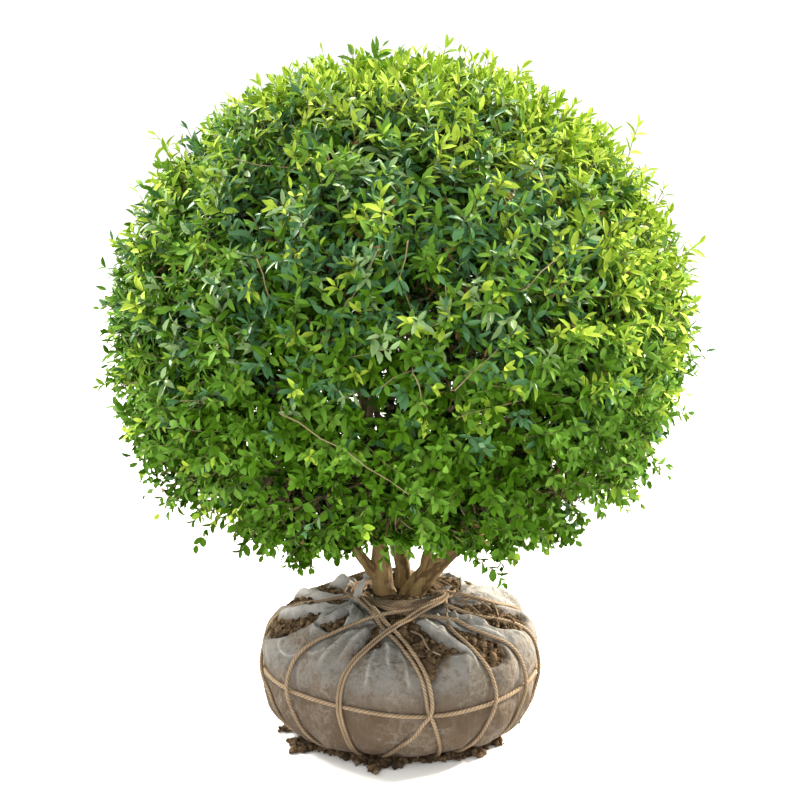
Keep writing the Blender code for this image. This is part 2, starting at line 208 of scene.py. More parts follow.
# Where the fleece lies open: degrees from the front and millimetres down from the neck
OPENINGS = {
    "front": [(-10, 36), (4, 40), (10, 69), (16, 112), (22, 138), (29, 157), (22, 157), (17, 170),
        (14, 199), (11, 194), (7, 172), (2, 146), (-4, 108)],
    "front_left": [(-15.5, 80), (-11.5, 108), (-9.5, 134), (-14, 143), (-21, 157), (-19, 141),
        (-17, 118)],
    "left_inner": [(-50, 114), (-46, 98), (-44, 80), (-44, 60), (-37, 88), (-36, 116), (-41, 121),
        (-46, 118)],
    "left": [(-79, 184), (-90, 182), (-93, 172), (-86, 152), (-73, 127), (-68, 104), (-59, 86),
        (-55, 105), (-54, 122), (-57, 131), (-60, 146), (-64, 160), (-72, 174)],
    "left_upper": [(-108, 153), (-109, 131), (-94, 92), (-80, 66), (-71, 40), (-64, 34), (-60, 45),
        (-63, 62), (-76, 84), (-90, 115), (-102, 143)],
    "left_behind": [(-130, 122), (-121, 88), (-103, 44), (-90, 30), (-86, 34), (-97, 54), (-114, 92)],
    "right_front": [(32, 104), (37, 110), (42, 128), (47, 142), (51, 160), (51.5, 181), (48, 190),
        (42, 193), (39, 186), (37.5, 172), (35, 156), (32, 140), (30.5, 122)],
    "right": [(49, 42), (59, 48), (67, 66), (78, 83), (81, 98), (81, 122), (89, 147), (86, 160),
        (71, 157), (62, 143), (55, 127), (54, 110), (51, 88), (46, 62)],
    "back_right": [(92, 16), (118, 12), (140, 40), (152, 88), (146, 98), (128, 70), (110, 46), (98, 34)],
    "back": [(176, 30), (186, 34), (194, 80), (203, 132), (196, 146), (184, 120), (176, 72)],
    "back_left": [(-146, 36), (-138, 44), (-143, 94), (-152, 142), (-160, 150), (-158, 112), (-150, 72)],
}
OPENING_EDGES = [ball_route(rows, 8, True) for rows in OPENINGS.values()]
EDGE_WANDER = 0.0011


def opening_depth(azimuth, distance):
    """How far inside an opening each place lies in metres, negative on the fleece."""
    depth = np.full(azimuth.shape, -0.05)
    places = on_ball(azimuth, distance)
    for edge in OPENING_EDGES:
        low, high = edge.min(0), edge.max(0)
        middle = (low[0] + high[0]) / 2
        turn = half_turns(azimuth - middle)
        near = np.abs(turn) < (high[0] - low[0]) / 2 + 30
        near &= (distance > low[1] - 0.05) & (distance < high[1] + 0.05)
        at, down = (turn + middle)[near], distance[near]
        line = on_ball(*edge.T)
        run = np.roll(line, -1, 0) - line
        aside = places[near][:, None] - line
        share = np.clip((aside * run).sum(-1) / (run * run).sum(-1), 0, 1)[..., None]
        gap = np.linalg.norm(aside - share * run, axis=-1).min(1)
        inside = np.zeros(len(at), bool)
        for (a0, s0), (a1, s1) in zip(edge, np.roll(edge, -1, 0)):
            crosses = (s0 > down) != (s1 > down)
            with np.errstate(divide="ignore", invalid="ignore"):
                inside ^= crosses & (at < a0 + (down - s0) * (a1 - a0) / (s1 - s0))
        depth[near] = np.maximum(depth[near], np.where(inside, gap, -gap))
    return depth + EDGE_WANDER * wander(places, 0.012, 3.0)


def new_node(tree, kind, out, sockets=(), **settings):
    """An output of a new node, each of whose sockets is given a value or joined to one."""
    node = tree.nodes.new("ShaderNode" + kind)
    for key, value in settings.items():
        setattr(node, key, value)
    for name, entry in dict(sockets).items():
        if isinstance(entry, bpy.types.NodeSocket):
            tree.links.new(entry, node.inputs[name])
        else:
            node.inputs[name].default_value = entry
    return node.outputs[out]


def ground_stain():
    """A node group: how stained a place is by the wet ground, from its height and clouds."""
    group = bpy.data.node_groups.new("ground_stain", "ShaderNodeTree")
    for name, kind, start in (("Place", "Vector", None), ("Reach", "Float", 0.08),
                              ("Cloud Scale", "Float", 26.0)):
        socket = group.interface.new_socket(name, in_out="INPUT", socket_type="NodeSocket" + kind)
        if start:
            socket.default_value = start
    group.interface.new_socket("Stain", in_out="OUTPUT", socket_type="NodeSocketFloat")
    enter = group.nodes.new("NodeGroupInput").outputs
    up = new_node(group, "SeparateXYZ", "Z", {"Vector": enter["Place"]})
    cloud = new_node(group, "TexNoise", "Fac", {
        "Vector": enter["Place"], "Scale": enter["Cloud Scale"], "Detail": 4.0})
    rise = new_node(group, "MapRange", "Result", {
        "Value": up, "From Max": enter["Reach"], "To Min": 1.0, "To Max": 0.0},
        interpolation_type="SMOOTHSTEP")
    patch = new_node(group, "MapRange", "Result", {"Value": cloud, "From Min": 0.25, "From Max": 0.60})
    both = new_node(group, "Math", "Value", {0: rise, 1: patch}, operation="MULTIPLY")
    group.links.new(both, group.nodes.new("NodeGroupOutput").inputs["Stain"])
    return group


GROUND_STAIN = ground_stain()
# How far apart the bands of a wave texture of scale 1 lie
WAVE_PERIOD = math.pi / 10


class Finish:
    """A node finish built up step by step on a Principled shader."""

    def __init__(self, name, roughness, specular):
        self.material = plain_finish(name, (0.8, 0.8, 0.8), roughness, specular)
        self.tree = self.material.node_tree
        self.place = self.node("TexCoord", "Object")

    def node(self, kind, out, sockets=(), **settings):
        return new_node(self.tree, kind, out, sockets, **settings)

    def value(self, name):
        return self.node("Attribute", "Fac", attribute_name=name)

    def grain(self, scale, detail=3.0, stretch=None, roughness=0.55):
        place = self.place
        if stretch:
            place = self.node("Mapping", "Vector", {"Vector": place, "Scale": stretch})
        return self.node("TexNoise", "Fac", {
            "Vector": place, "Scale": scale, "Detail": detail, "Roughness": roughness})

    def ramp(self, value, low, high):
        """The value between low and high, as a share from 0 to 1."""
        sockets = {"Value": value, "From Min": low, "From Max": high}
        return self.node("MapRange", "Result", sockets, interpolation_type="SMOOTHSTEP")

    def maths(self, kind, first, second):
        return self.node("Math", "Value", {0: first, 1: second}, operation=kind)

    def times(self, first, second):
        return self.maths("MULTIPLY", first, second)

    def blend(self, share, first, second):
        first, second = ((*end, 1.0) if isinstance(end, tuple) else end for end in (first, second))
        return self.node("Mix", "Result", {"Factor": share, "A": first, "B": second}, data_type="RGBA")

    def stain(self, reach, cloud_scale):
        sockets = {"Reach": reach, "Cloud Scale": cloud_scale, "Place": self.place}
        return self.node("Group", "Stain", sockets, node_tree=GROUND_STAIN)

    def lines(self, value, width):
        """Thin lines where the value passes its middle."""
        off = self.maths("ABSOLUTE", self.maths("SUBTRACT", value, 0.5), 0)
        return self.maths("SUBTRACT", 1.0, self.ramp(off, 0.0, width))

    def threads(self, pitch):
        """Crossed threads, with ridges along each axis so that every side shows a weave."""
        sockets = {"Vector": self.place, "Scale": WAVE_PERIOD / pitch, "Distortion": 5.0,
                   "Detail": 1.0, "Detail Scale": 0.04}
        x, y, z = (self.node("TexWave", "Fac", sockets, bands_direction=axis) for axis in "XYZ")
        return self.times(self.maths("ADD", self.maths("ADD", x, y), z), 1 / 3)

    def bump(self, height, depth, under=None):
        sockets = {"Strength": 1.0, "Distance": depth, "Height": height}
        if under:
            sockets["Normal"] = under
        return self.node("Bump", "Normal", sockets)

    def done(self, colour, normal):
        shader = self.tree.nodes["Principled BSDF"].inputs
        self.tree.links.new(colour, shader["Base Color"])
        self.tree.links.new(normal, shader["Normal"])
        return self.material


loam = Finish("loam", 0.93, 0.10)
gritty = loam.grain(600, 5, roughness=0.7)
dry = loam.blend(loam.ramp(loam.grain(45, 4), 0.35, 0.65), (0.085, 0.055, 0.030), (0.164, 0.109, 0.060))
dry = loam.blend(loam.ramp(gritty, 0.45, 0.72), dry, (0.258, 0.178, 0.103))
# Painted shade: the loam darkens where it is sunk between clods
shaded = loam.blend(loam.ramp(loam.value("hollow"), 0.15, 0.70), dry, (0.022, 0.014, 0.009))
loam_finish = loam.done(shaded, loam.bump(gritty, 0.0026))


def join_parts(parts):
    """One set of points and face arrays from several."""
    points, faces, shift = [], {}, 0
    for rows, sets in parts:
        points.append(rows)
        for face_set in sets:
            faces.setdefault(face_set.shape[1], []).append(face_set + shift)
        shift += len(rows)
    return np.concatenate(points), [np.concatenate(sets) for sets in faces.values()]


def make_piece(name, slot, finishes, parts, replaced=None, finish_rows=None, **painted):
    """A piece on the root body, from parts that are each an array of points and face arrays.

    Painted values, one for each point, are there for the piece's finish to read.
    """
    points, face_sets = join_parts(parts)
    mesh = bpy.data.meshes.new(name)
    mesh.vertices.add(len(points))
    mesh.vertices.foreach_set("co", points.astype(np.float32).ravel())
    corners = np.concatenate([faces.ravel() for faces in face_sets])
    sizes = np.concatenate([np.full(len(faces), faces.shape[1]) for faces in face_sets])
    mesh.loops.add(len(corners))
    mesh.loops.foreach_set("vertex_index", corners.astype(np.int32))
    mesh.polygons.add(len(sizes))
    mesh.polygons.foreach_set("loop_start", (np.cumsum(sizes) - sizes).astype(np.int32))
    if finish_rows is not None:
        mesh.polygons.foreach_set("material_index", finish_rows.astype(np.int32))
    mesh.update(calc_edges=True)
    mesh.shade_smooth()
    for key, values in painted.items():
        layer = mesh.attributes.new(key, "FLOAT", "POINT")
        layer.data.foreach_set("value", np.asarray(values, np.float32).ravel())
    for finish in finishes:
        mesh.materials.append(finish)
    piece = put(name, mesh)
    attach(piece, "root")
    if replaced:
        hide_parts(replaced)


def ring_angles(sides):
    return np.arange(sides) * 2 * math.pi / sides


def tube_faces(rings, sides, closed=False):
    """Quads along a tube of rings, each with so many points."""
    s = np.arange(sides)
    n = (s + 1) % sides
    k = np.arange(rings if closed else rings - 1)[:, None]
    a, b = k * sides, (k + 1) % rings * sides
    return np.stack([a + s, a + n, b + n, b + s], -1).reshape(-1, 4)


def fan(sides, first, middle, turned=False):
    """Triangles from a ring to a point in its middle."""
    s = np.arange(sides)
    n = (s + 1) % sides
    s, n = (n, s) if turned else (s, n)
    return np.stack([first + s, first + n, np.full(sides, middle)], -1)


def outer_faces(rows, around):
    """Quads between rows of points that run round the ball, outside facing out."""
    return np.roll(tube_faces(rows, around)[:, ::-1], 1, axis=1)


SOIL_AROUND = 500
SOIL_INSET = 0.0032
soil_down = np.concatenate([
    np.linspace(-NECK_RADIUS, -0.006, 22), np.arange(-0.004, 0.206, 0.0017),
    np.linspace(0.210, FOOT_DOWN - 0.004, 42), np.linspace(FOOT_DOWN, OUTLINE_DOWN[-1], 10),
])[1:-1]
turn, down = np.meshgrid(np.arange(SOIL_AROUND) * 360 / SOIL_AROUND, soil_down)
bare = smooth_steps((opening_depth(turn, down) + 0.006) / 0.010)
bare = np.where(down < 0.004, 1.0, bare)
place = on_ball(turn, down)
clods = np.abs(wander(place, 0.010)) * 0.010 + np.abs(wander(place, 0.0045, 7.0)) * 0.007
crumbs = wander(place, 0.0024, 4.0) * 0.0018
heave = wander(place, 0.035, 9.0) * 0.004
proud = -SOIL_INSET + bare * (0.0035 - clods + crumbs + heave)
proud = np.minimum(proud, np.where(down > 0.2, -SOIL_INSET, 1.0))
top_point = on_ball(0.0, -NECK_RADIUS, -0.003)
foot_point = on_ball(0.0, OUTLINE_DOWN[-1], -SOIL_INSET)
rows = on_ball(turn, down, proud).reshape(-1, 3)
caps = [fan(SOIL_AROUND, 0, len(rows)),
        fan(SOIL_AROUND, len(rows) - SOIL_AROUND, len(rows) + 1, turned=True)]
# The soil's hollow values are painted shade, high where it is sunk between clods
make_piece("soil", "soil", [loam_finish], [(
    np.concatenate([rows, [top_point, foot_point]]),
    [outer_faces(len(soil_down), SOIL_AROUND), np.concatenate(caps)],
)], "soil_ball", hollow=np.append(np.clip((clods - crumbs) / 0.012, 0, 1), [0.5, 0.5]))

# Clods and crumbs: faceted lumps scattered on the open soil, the crumbs with fewer faces
LUMP_KINDS = 6
CLODS = 1250
CRUMBS = 4200
# Single large clods: degrees, then millimetres from the neck and in radius
LARGE_CLODS = [
    (12, 172, 13), (5, 150, 8.5), (14, 150, 9), (22, 162, 8), (9, 120, 8.5), (2, 105, 9), (44, 176, 9.5),
    (42, 152, 8), (62, 122, 9), (74, 140, 10), (-75, 160, 8.5), (-64, 120, 8), (-70, 58, 7.5),
    (-40, 104, 7), (56, 72, 8.5), (72, 90, 9),
]
scatter = np.random.default_rng(12)


def lump_shapes(subdivisions):
    """Rows of points and of faces of uneven round lumps, about one metre in radius."""
    shapes = []
    for kind in range(LUMP_KINDS):
        bpy.ops.mesh.primitive_ico_sphere_add(subdivisions=subdivisions, radius=1.0)
        ball = bpy.context.object
        rows = np.array([v.co for v in ball.data.vertices])
        faces = np.array([list(p.vertices) for p in ball.data.polygons])
        bpy.data.objects.remove(ball)
        uneven = 1 + 0.45 * wander(rows, 0.9, kind * 5.0) + 0.2 * wander(rows, 0.4, kind)
        shapes.append((rows * uneven[:, None] * scatter.uniform(0.7, 1.2, 3), faces))
    return shapes


def lump(shapes, size, spot, rng, kind=None):
    """One lump, turned any way and put in its spot."""
    turn = np.linalg.qr(rng.normal(size=(3, 3)))[0]
    turn[:, 0] *= np.sign(np.linalg.det(turn))
    rows, faces = shapes[rng.integers(0, LUMP_KINDS) if kind is None else kind]
    return rows * size @ turn.T + spot, [faces]


def lump_piece(name, parts, rng, darkness):
    # Each lump gets a random darkness of its own
    dark = rng.uniform(*darkness, len(parts))
    make_piece(name, "soil", [loam_finish], parts, hollow=np.repeat(dark, len(parts[0][0])))


def on_open_soil(count, low, high, clear):
    """Random places on the open soil, in degrees and metres from the neck."""
    places = scatter.uniform(-180, 180, count * 9), scatter.uniform(low, high, count * 9)
    bare = (opening_depth(*places) > clear) | (places[1] < -0.001)
    return places[0][bare][:count], places[1][bare][:count]


for name, count, subdivisions, smallest, largest, sunk in (
    ("soil_clods", CLODS, 2, 0.0018, 0.0072, 0.25), ("soil_crumbs", CRUMBS, 1, 0.0007, 0.0021, 0.0),
):
    shapes = lump_shapes(subdivisions)
    turn, down = on_open_soil(count, -0.045, 0.200, 0.001)
    sizes = smallest + (largest - smallest) * scatter.random(len(turn)) ** 2.2
    if name == "soil_clods":
        large = np.array(LARGE_CLODS) / (1, 1000, 1000)
        turn, down, sizes = np.concatenate([[turn, down, sizes], large.T], axis=1)
    places = on_ball(turn, down, 0.0014 - sunk * sizes)
    kinds = scatter.integers(0, LUMP_KINDS, len(sizes))
    parts = [lump(shapes, size, spot, scatter, kind) for size, spot, kind in zip(sizes, places, kinds)]
    lump_piece(name, parts, scatter, (0.0, 0.6))

# Loose earth fallen round the foot of the ball: heaps of crumbs, highest against the fleece.
# Middle and spread of each heap in degrees, its reach in millimetres and how many crumbs
HEAPS = [
    (0, 70, 14, 900), (-57, 13, 46, 560), (-11, 14, 46, 640), (-33, 11, 20, 150), (20, 11, 20, 130),
    (41, 15, 30, 440), (62, 10, 26, 160), (-86, 11, 40, 260), (95, 16, 30, 170), (-112, 14, 40, 190),
    (150, 18, 36, 220), (-165, 14, 34, 170), (-140, 12, 32, 120),
]
HEAP_START = FOOT_RADIUS + 0.034
shapes = lump_shapes(1)
parts = []
for middle, spread, reach, amount in HEAPS:
    for turn, out, up, draw in zip(scatter.normal(middle, spread / 2, amount), scatter.random(amount),
                                   scatter.random(amount), scatter.random(amount)):
        size = 0.0014 + 0.0056 * draw**2.4
        ragged = 1 + 0.35 * math.sin(turn * 0.55 + middle) + 0.22 * math.sin(turn * 1.7)
        fade = math.exp(-(((turn - middle) / spread) ** 2))
        far = HEAP_START + reach / 1000 * fade * out * ragged
        spot = (math.sin(math.radians(turn)) * far, -math.cos(math.radians(turn)) * far,
                0.0095 * up * (1 - out) * fade + 0.9 * size)
        rows, faces = lump(shapes, size, np.array(spot), scatter)
        rows[:, 2] = np.maximum(rows[:, 2], 0.0002)
        parts.append((rows, faces))
lump_piece("soil_heaps", parts, scatter, (0.2, 0.6))


# Hair roots: pale threads that lie on the open soil, dug up with it
def shoot_tubes(paths, thick, thin, sides):
    """Points and faces of a tapering tube round each path, closed to a point at its tip."""
    count, steps = paths.shape[:2]
    along = unit(np.gradient(paths, axis=1))
    helper = np.where(np.abs(along[:, :1, 2:]) > 0.8, [[[1.0, 0, 0]]], [[[0, 0, 1.0]]])
    right = unit(np.cross(along, np.broadcast_to(helper, along.shape)))
    other = np.cross(along, right)
    t = np.linspace(0, 1, steps)[None, :, None]
    radius = np.asarray(thick).reshape(-1, 1, 1) * (1 - t) + thin * t
    turn = ring_angles(sides)[:, None]
    ring = right[:, :, None] * np.cos(turn) + other[:, :, None] * np.sin(turn)
    points = paths[:, :, None] + ring * radius[..., None]
    tips = paths[:, -1] + along[:, -1] * radius[:, -1] * 2
    points = np.concatenate([points.reshape(count, -1, 3), tips[:, None]], 1)
    each = points.shape[1]
    shift = (np.arange(count) * each)[:, None, None]
    quads, caps = tube_faces(steps, sides), fan(sides, each - 1 - sides, each - 1)
    return points.reshape(-1, 3), [(quads + shift).reshape(-1, 4), (caps + shift).reshape(-1, 3)]


ROOTLETS = 70
turn, down = on_open_soil(ROOTLETS, 0.0, 0.195, 0.003)
t = np.linspace(0, 1, 9)[None]
heading = scatter.uniform(0, 6.3, (len(turn), 1)) + scatter.normal(0, 1.5, (len(turn), 1)) * t
length = scatter.uniform(0.008, 0.030, (len(turn), 1))
turn = turn[:, None] + np.degrees(length * t * np.cos(heading) / 0.2)
down = down[:, None] + length * t * np.sin(heading)
humps = 0.0030 * np.sin(math.pi * t) * scatter.random(length.shape)
rootlets = on_ball(turn, down, 0.0022 + humps)
make_piece("soil_rootlets", "soil", [plain_finish("rootlet", (0.230, 0.160, 0.098), 0.9, 0.1)],
           [shoot_tubes(rootlets, scatter.uniform(0.0003, 0.0006, len(rootlets)), 0.0002, 4)])

# The wrap: thin white fleece drawn up round the stems, in wedges that run to two gathers
# beside them. It bellies out between the ropes, is stained by the soil it touches, and
# stays white and pleated where it hangs slack. Its fold crests, pleat lines, crinkles and
# cut edges carry painted highlights.

ROPE_RADIUS = 0.00375
ROPE_GAP = 0.0006
THIN_RADIUS = 0.0027
# Rope passes in the order they are laid, each as it comes from a knot or from the turns at
# the neck, and as it runs over the ball
PASSES = {
    "front_right": ([(62, 12), (58, 26), (46, 44), (37, 66), (32, 88)], [(12, 34), (20, 60), (28, 86),
        (31, 124), (35, 161), (39, 195), (41, 223), (41, 246), (39, 281), (36, 319), (33, 350),
        (31, 381)]),
    "right_front": ([(-54, 12), (-48, 26), (-22, 33), (0, 46), (18, 62), (30, 84)], [(32, 34), (35, 75),
        (39, 105), (48, 140), (55, 163), (59, 190), (61, 219), (61, 246), (60, 284), (58, 330),
        (57, 381)]),
    "right": ([(62, 12), (56, 28), (44, 46), (45, 62), (52, 82)], [(48, 34), (50, 70), (57, 100),
        (68, 128), (77, 160), (82, 195), (82, 223), (79, 255), (75, 295), (73, 340), (73, 381)]),
    "right_back": ([(60, 12), (64, 26), (69, 50)], [(66, 34), (76, 72), (88, 110), (99, 150),
        (106, 195), (110, 240), (111, 290), (111, 340), (110, 381)]),
    "back_right": ([(175, 12), (166, 30), (150, 60), (141, 92)], [(104, 34), (122, 70), (133, 110),
        (141, 155), (145, 200), (146, 245), (145, 290), (142, 340), (140, 381)]),
    "back": ([(176, 10), (173, 22)], [(168, 34), (177, 77), (185, 117), (190.5, 161), (194, 206),
        (194.5, 250), (193, 295), (189, 340), (186, 381)]),
    "back_left": ([(178, 12), (186, 50), (200, 95), (216, 132)], [(-104, 34), (-120, 70), (-130, 110),
        (-136, 155), (-139, 200), (-140, 245), (-139, 290), (-137, 340), (-136, 381)]),
    "left_back": ([(177, 12), (198, 60), (214, 105), (233, 142), (243, 168)], [(-82, 34), (-97, 70),
        (-107, 110), (-112, 155), (-114, 200), (-113, 245), (-110, 290), (-108, 340), (-107, 381)]),
    "left": ([(-53, 12), (-57, 24)], [(-62, 34), (-79, 75), (-89, 114), (-92, 150), (-89, 190),
        (-83, 220), (-76, 248), (-69, 278), (-65, 320), (-63, 381)]),
    "middle": ([(-53, 12), (-50, 24)], [(-48, 34), (-23, 60), (-5, 114), (3.5, 155), (8, 187),
        (10, 216), (11, 246), (13.7, 272), (17, 311), (19.5, 350), (21, 381)]),
    "middle_over": ([(-54, 12), (-46, 26)], [(-36, 34), (-19, 61), (-1.6, 112), (5.6, 153), (10, 186),
        (12, 216), (12, 246), (8.7, 266), (5, 291), (-2.2, 324), (-8.5, 360), (-12, 381)]),
    "left_front": ([(62, 12), (58, 24), (50, 31)], [(41, 34), (11.6, 46), (-18.4, 84), (-37, 126),
        (-44.5, 155), (-49, 185), (-51, 214), (-51, 242), (-49.5, 278), (-46.5, 313), (-43, 356),
        (-42, 381)]),
    "front": ([(61, 12), (60, 26), (56, 33)], [(52, 34), (13, 62), (-5.5, 109), (-16, 147),
        (-21.5, 179), (-24, 209), (-24.5, 244), (-23.8, 278), (-22.5, 315), (-21.5, 367),
        (-21.5, 381)]),
}
DOUBLED = ["back", "front"]
BELT_ROUTE = [
    (-165, 246), (-130, 243), (-95, 239), (-60, 240), (-25, 245), (8, 256), (40, 252), (70, 243),
    (105, 245), (140, 250), (170, 250),
]
ROUTE_PIECES = 9


def beside(track, aside):
    """The same track of (azimuth, distance) rows, moved sideways on the ball."""
    degree = np.radians(np.interp(track[:, 1], OUTLINE_DOWN, OUTLINE_R))
    run = unit(np.gradient(track, axis=0) * np.stack([degree, np.ones(len(track))], 1))
    return track + aside * np.stack([-run[:, 1] / degree, run[:, 0]], 1)


belt_end = (BELT_ROUTE[0][0] + 360, BELT_ROUTE[0][1])
tracks = {"belt": ball_route([*BELT_ROUTE, belt_end], 2 * ROUTE_PIECES)}
for name, (lead, route) in PASSES.items():
    track = ball_route(route, ROUTE_PIECES)
    if name in DOUBLED:
        tracks[name + "_1"] = beside(track, -THIN_RADIUS)
        tracks[name + "_2"] = beside(track, THIN_RADIUS)
    else:
        tracks[name] = track

# Loops round the neck: millimetres from the neck between the knots and at them, and rope
# widths up
KNOTS = [-54, 61, 176]
COIL_LOOPS = [
    (0, 12, 0.8), (5.2, 17, 0.8), (10.4, 22, 0.8), (15.6, 14.5, 2.2), (20.8, 19.5, 2.2), (34, 17, 3.4),
]
COIL_RADIUS = 0.0028
COIL_STEPS = 180


def beside_knots(turn, reach):
    """How near a knot each angle is, as a share that fades over a reach in degrees."""
    apart = np.abs(half_turns(turn[:, None] - np.array(KNOTS))).min(1)
    return np.exp(-((apart / reach) ** 2))


def loop_wander(turn, turn_size, up, wide):
    """Smooth noise along one loop, unlike that of the loops beside it."""
    rows = np.stack([turn / turn_size, np.full(COIL_STEPS, up), np.full(COIL_STEPS, wide * 0.09)], 1)
    return wander(rows, 1.0)


coil_turn = np.arange(COIL_STEPS) * 360 / COIL_STEPS - 180
held = beside_knots(coil_turn, 24)
coil_tracks = []
for wide, tight, up in COIL_LOOPS:
    down = (wide + (tight - wide) * held) / 1000
    down = down + 0.0016 * loop_wander(coil_turn, 50, up, wide) * (1 - held)
    coil_tracks.append(np.stack([coil_turn, down], 1))

# Folds of the slack fleece: points along each crest, then its height and half width in
# millimetres
FOLDS = [
    ([(-98, 4), (-120, 35), (-136, 80), (-133, 118)], 9, 7.5),
    ([(-76, 8), (-84, 40), (-93, 70), (-111, 108), (-116, 140), (-109, 160)], 8.5, 6),
    ([(-56, 36), (-62, 68), (-72, 104), (-84, 136), (-97, 166)], 7, 4.8),
    ([(-55, 46), (-56, 70), (-54, 94), (-50, 124), (-48, 150)], 5.5, 3.6),
    ([(-50, 26), (-42, 55), (-34, 85), (-33, 112), (-34, 140)], 8.5, 5.2),
    ([(-24, 95), (-28, 118), (-31, 145), (-34, 165), (-38, 196)], 6, 4.8),
    ([(-19, 90), (-22, 118), (-25, 150), (-28, 184)], 5, 3.6),
    ([(-13, 120), (-12, 150), (-13, 185), (-14, 220)], 4, 4),
    ([(-8, 119), (-6, 140), (-5, 162), (-4, 196)], 4.5, 3.6),
    ([(-2, 130), (1, 155), (3, 185), (4, 215)], 4, 3.6),
    ([(-62, 160), (-62, 176), (-57, 186), (-50, 180), (-46, 160)], 4.5, 3.2),
    ([(-74, 186), (-70, 200), (-64, 215)], 3.5, 3.6),
    ([(-46, 165), (-41, 170), (-36, 160), (-31, 150)], 3, 3),
    ([(8, 58), (18, 100), (27, 140), (33, 165), (33, 196)], 6.5, 4.8),
    ([(14, 60), (26, 94), (32, 128), (36, 166), (38, 200)], 4.5, 3),
    ([(22, 62), (35, 96), (45, 120), (53, 150), (57, 186)], 7, 4.4),
    ([(36, 62), (48, 100), (56, 130), (66, 160), (70, 190)], 6, 4.4),
    ([(40, 42), (50, 70), (58, 104), (70, 136), (80, 164)], 5, 3.2),
    ([(74, 18), (94, 60), (108, 110), (106, 158), (98, 185)], 11, 8),
    ([(72, 30), (84, 70), (94, 115), (99, 156), (93, 195)], 9, 6),
    ([(82, 10), (112, 38), (134, 80), (142, 130)], 8, 6),
    ([(160, 20), (163, 70), (168, 120), (172, 165)], 8, 6),
    ([(-168, 20), (-168, 70), (-172, 120), (-175, 165)], 7.5, 5.5),
    ([(-132, 20), (-134, 70), (-148, 130), (-150, 170)], 7.5, 5.5),
    ([(126, 60), (150, 110), (156, 160)], 6, 5),
    ([(-154, 30), (-160, 70), (-166, 140)], 5.5, 4.5),
]
GATHERS = [(-52, 0.076), (66, 0.080), (176, 0.076)]
WRAP_AROUND = 500
wrap_down = np.concatenate([
    np.arange(-0.008, 0.200, 0.0021), np.linspace(0.2025, FOOT_DOWN + 0.004, 76),
    np.linspace(FOOT_DOWN + 0.012, OUTLINE_DOWN[-1], 8),
])[:-1]
turn, down = np.meshgrid(np.arange(WRAP_AROUND) * 360 / WRAP_AROUND, wrap_down)
place = on_ball(turn, down)
depth = opening_depth(turn, down)

pressing = np.concatenate([*tracks.values(), *coil_tracks])
rope_tree = kdtree.KDTree(len(pressing))
for number, spot in enumerate(on_ball(*pressing.T)):
    rope_tree.insert(spot, number)
rope_tree.balance()
near_rope = np.array([rope_tree.find(row)[2] for row in place.reshape(-1, 3)]).reshape(turn.shape)

# Pleats fan out from each gather; long creases hang below, leaning with the ropes' pull
pleats, pleat_highlight, fine_pleats, share_sum = np.zeros((4, *turn.shape))
for number, (gather_turn, gather_out) in enumerate(GATHERS):
    gather = on_ball(gather_turn, 0.0)[:2] / NECK_RADIUS * gather_out
    aside = place[..., :2] - gather
    away = np.hypot(aside[..., 0], aside[..., 1])
    spin = np.arctan2(aside[..., 1], aside[..., 0])
    share = np.exp(-((np.abs(half_turns(turn - gather_turn)) / 48) ** 4))
    spokes = np.stack([np.cos(spin), np.sin(spin), away * 2.2], -1)
    broad = 1 - 2.4 * np.abs(wander(spokes, 0.24, number * 4.0))
    fine = 1 - 2.4 * np.abs(wander(spokes, 0.095, number * 4.0 + 2.0))
    reach = np.exp(-((away / 0.135) ** 2))
    pleats += share * reach * broad
    pleat_highlight += share * reach * np.clip((fine - 0.55) / 0.45, 0, 1) ** 2
    fine_pleats += share * np.exp(-((away / 0.10) ** 2)) * fine
    share_sum += share
pleats, pleat_highlight, fine_pleats = (
    values / np.maximum(share_sum, 0.35) for values in (pleats, pleat_highlight, fine_pleats))

folds, crest = np.zeros((2, *turn.shape))
for route, tall, half_width in FOLDS:
    line = ball_route(route, 14)
    share = np.linspace(0, 1, len(line))
    taper = np.minimum(smooth_steps(share / 0.22), smooth_steps((1 - share) / 0.30))
    line[:, 0] += 1.6 * wander(np.stack([line[:, 0] / 9, line[:, 1] / 0.03, share], 1), 1.0, tall * 0.9)
    spots = on_ball(*line.T)
    near = np.linalg.norm(place - spots.mean(0), axis=-1) < np.ptp(spots, 0).max() + 0.05
    gap = np.linalg.norm(place[near][:, None] - spots[None], axis=-1)
    nearest, gap = gap.argmin(1), gap.min(1)
    # one flank of a fold falls more steeply than the other
    flank = np.where(half_turns(turn[near] - line[nearest, 0]) > 0, 1.35, 0.75)
    away = np.sqrt(gap**2 + 0.0008**2) / (half_width / 1000 * flank)
    rise = tall / 1000 * taper[nearest] * np.exp(-(away**1.25))
    folds[near] = np.maximum(folds[near], rise)
    crest[near] = np.maximum(crest[near], np.exp(-((gap / 0.0026) ** 2)) * taper[nearest])

lean = np.radians(38) * wander(place, 0.16, 11.0) * 2.2
across = np.radians(turn) * 0.21
creases = np.zeros(turn.shape)
for angle, width, seed in ((0.0, 0.030, 1.0), (0.75, 0.024, 5.0), (-0.75, 0.024, 8.0)):
    u = np.cos(lean + angle) * across + np.sin(lean + angle) * down
    v = -np.sin(lean + angle) * across + np.cos(lean + angle) * down
    fabric = np.stack([u / width, v / (width * 5.5), np.full(u.shape, seed)], -1)
    creases += 0.55 * (1 - 2.6 * np.abs(wander(fabric, 1.0, seed)))

